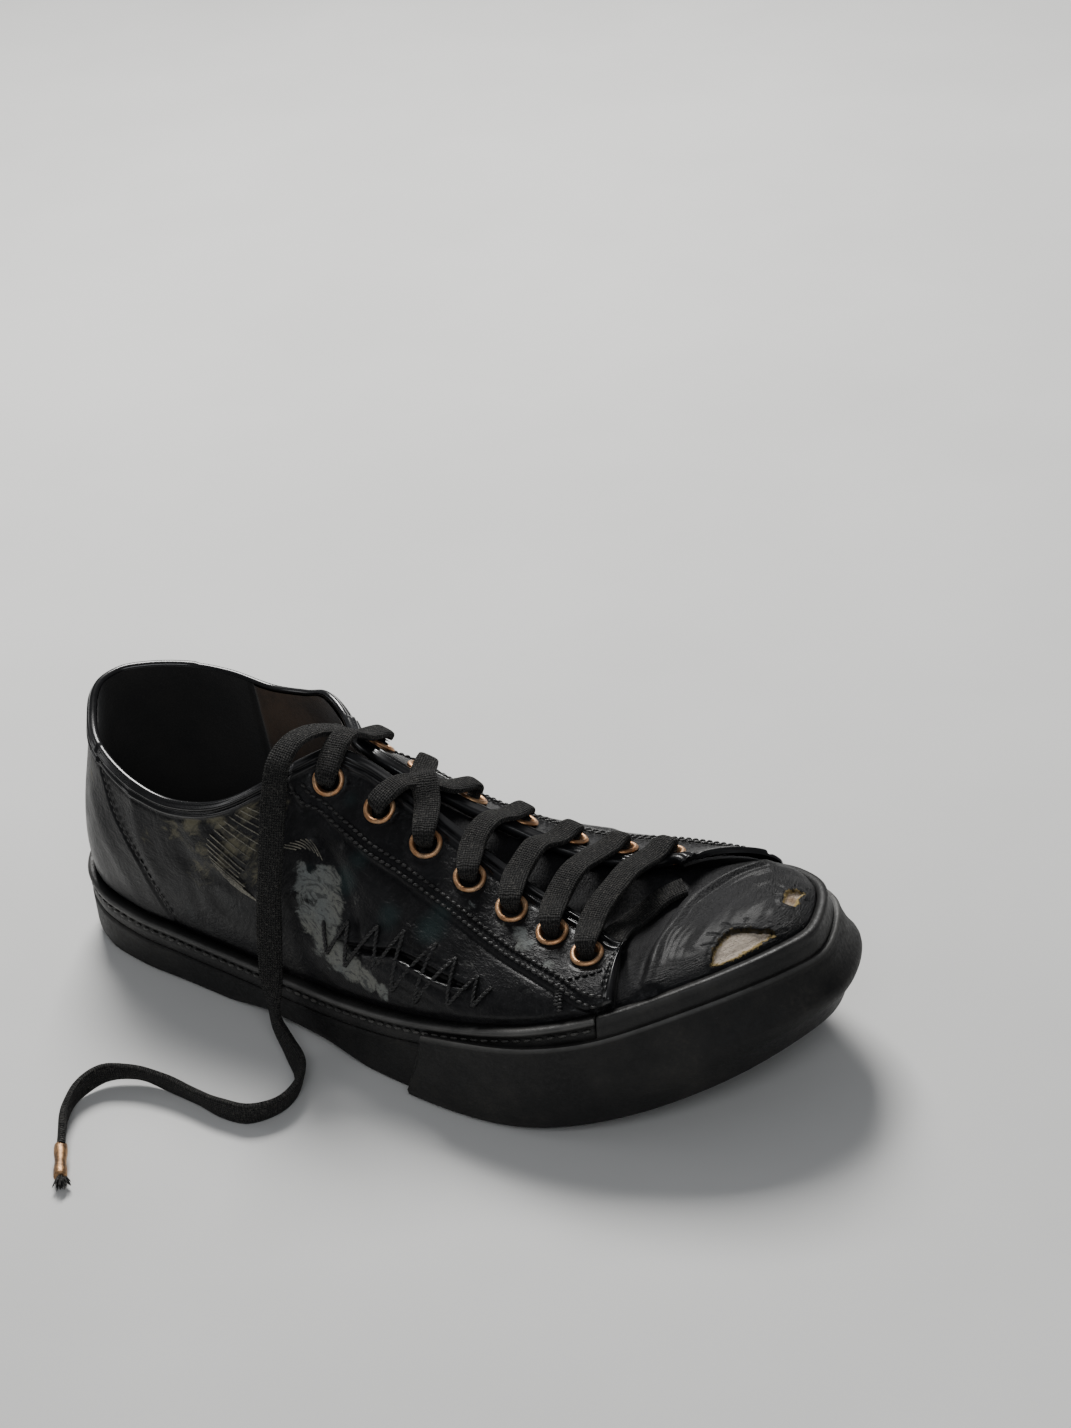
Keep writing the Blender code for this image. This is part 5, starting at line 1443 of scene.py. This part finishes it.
MEND_TOPS = [(0.2194, 52.1), (0.2344, 46.1), (0.2511, 40.7), (0.2656, 36), (0.284, 33),
             (0.2969, 33), (0.3122, 34), (0.3218, 35)]
MEND_FEET = [(0.2232, 61.8), (0.2355, 61), (0.254, 54), (0.266, 56), (0.2805, 54),
             (0.3006, 47.3), (0.3148, 42.9)]


def threads(name, paths, radius, slot, lift, strands=1, count=26):
    """Threads that lie on the leather along paths of marks, in one mesh."""
    sides = 7
    twist_length = 0.0034
    swing = 0.62 * radius * (strands - 1)
    sizes = np.full(count, radius)
    sizes[[0, -1]] = radius * 0.3
    tubes = []
    for path in paths:
        line, normals = on_leather(smooth_line(metres(path), count), lift)
        side = np.cross(normals, unit(np.gradient(line, axis=0)))
        for strand in range(strands):
            turn = (walk(line) * 2 * math.pi / twist_length + strand * math.pi)[:, None]
            spun = line + side * swing * np.cos(turn) + normals * swing * np.sin(turn)
            tubes.append(tube_points(spun, sizes, sides))
    faces = [face for k in range(len(tubes))
             for face in grid_faces(count, sides, wrap_columns=True, start=k * count * sides)]
    make_mesh(name, np.array(tubes), faces, slot)


def make_mending():
    """The zigzag thread over the gash."""
    paths = []
    for k, foot in enumerate(MEND_FEET):
        paths += [[MEND_TOPS[k], foot], [foot, MEND_TOPS[k + 1]]]
    threads("mending_threads", paths, 0.00046, ("black_leather", "mend"), 0.0014, 2, 64)


def make_darning():
    """Pale slanting darning lines on the heel's outer side."""
    edge = smooth_line(np.array([(0.169, 5.0), (0.1557, 6.8), (0.1475, 12.0), (0.149, 18.0),
                                 (0.156, 25.0), (0.167, 33.0)]) * [640, 1.0], 22)
    paths = []
    for across, down in edge:
        around = across / 640
        share = min(1.0, (0.1835 - around) / 0.0225) * CHANCE.uniform(0.85, 1.0)
        start = (around, down + CHANCE.uniform(-0.3, 0.3))
        paths.append([start, (around + 0.0112 * share, start[1] + 7.6 * share),
                      (around + 0.0225 * share, start[1] + 16.0 * share)])
    for k in range(7):
        start = (0.188 + k * 0.0024, 27.2 + k * 0.45)
        paths.append([start, (start[0] + 0.0088, start[1] + 5.0)])
    threads("darning_lines", paths, 0.00022, ("black_leather", "darn"), 0.0009)


make_stitches()
make_rand_stitches()
make_mending()
make_darning()
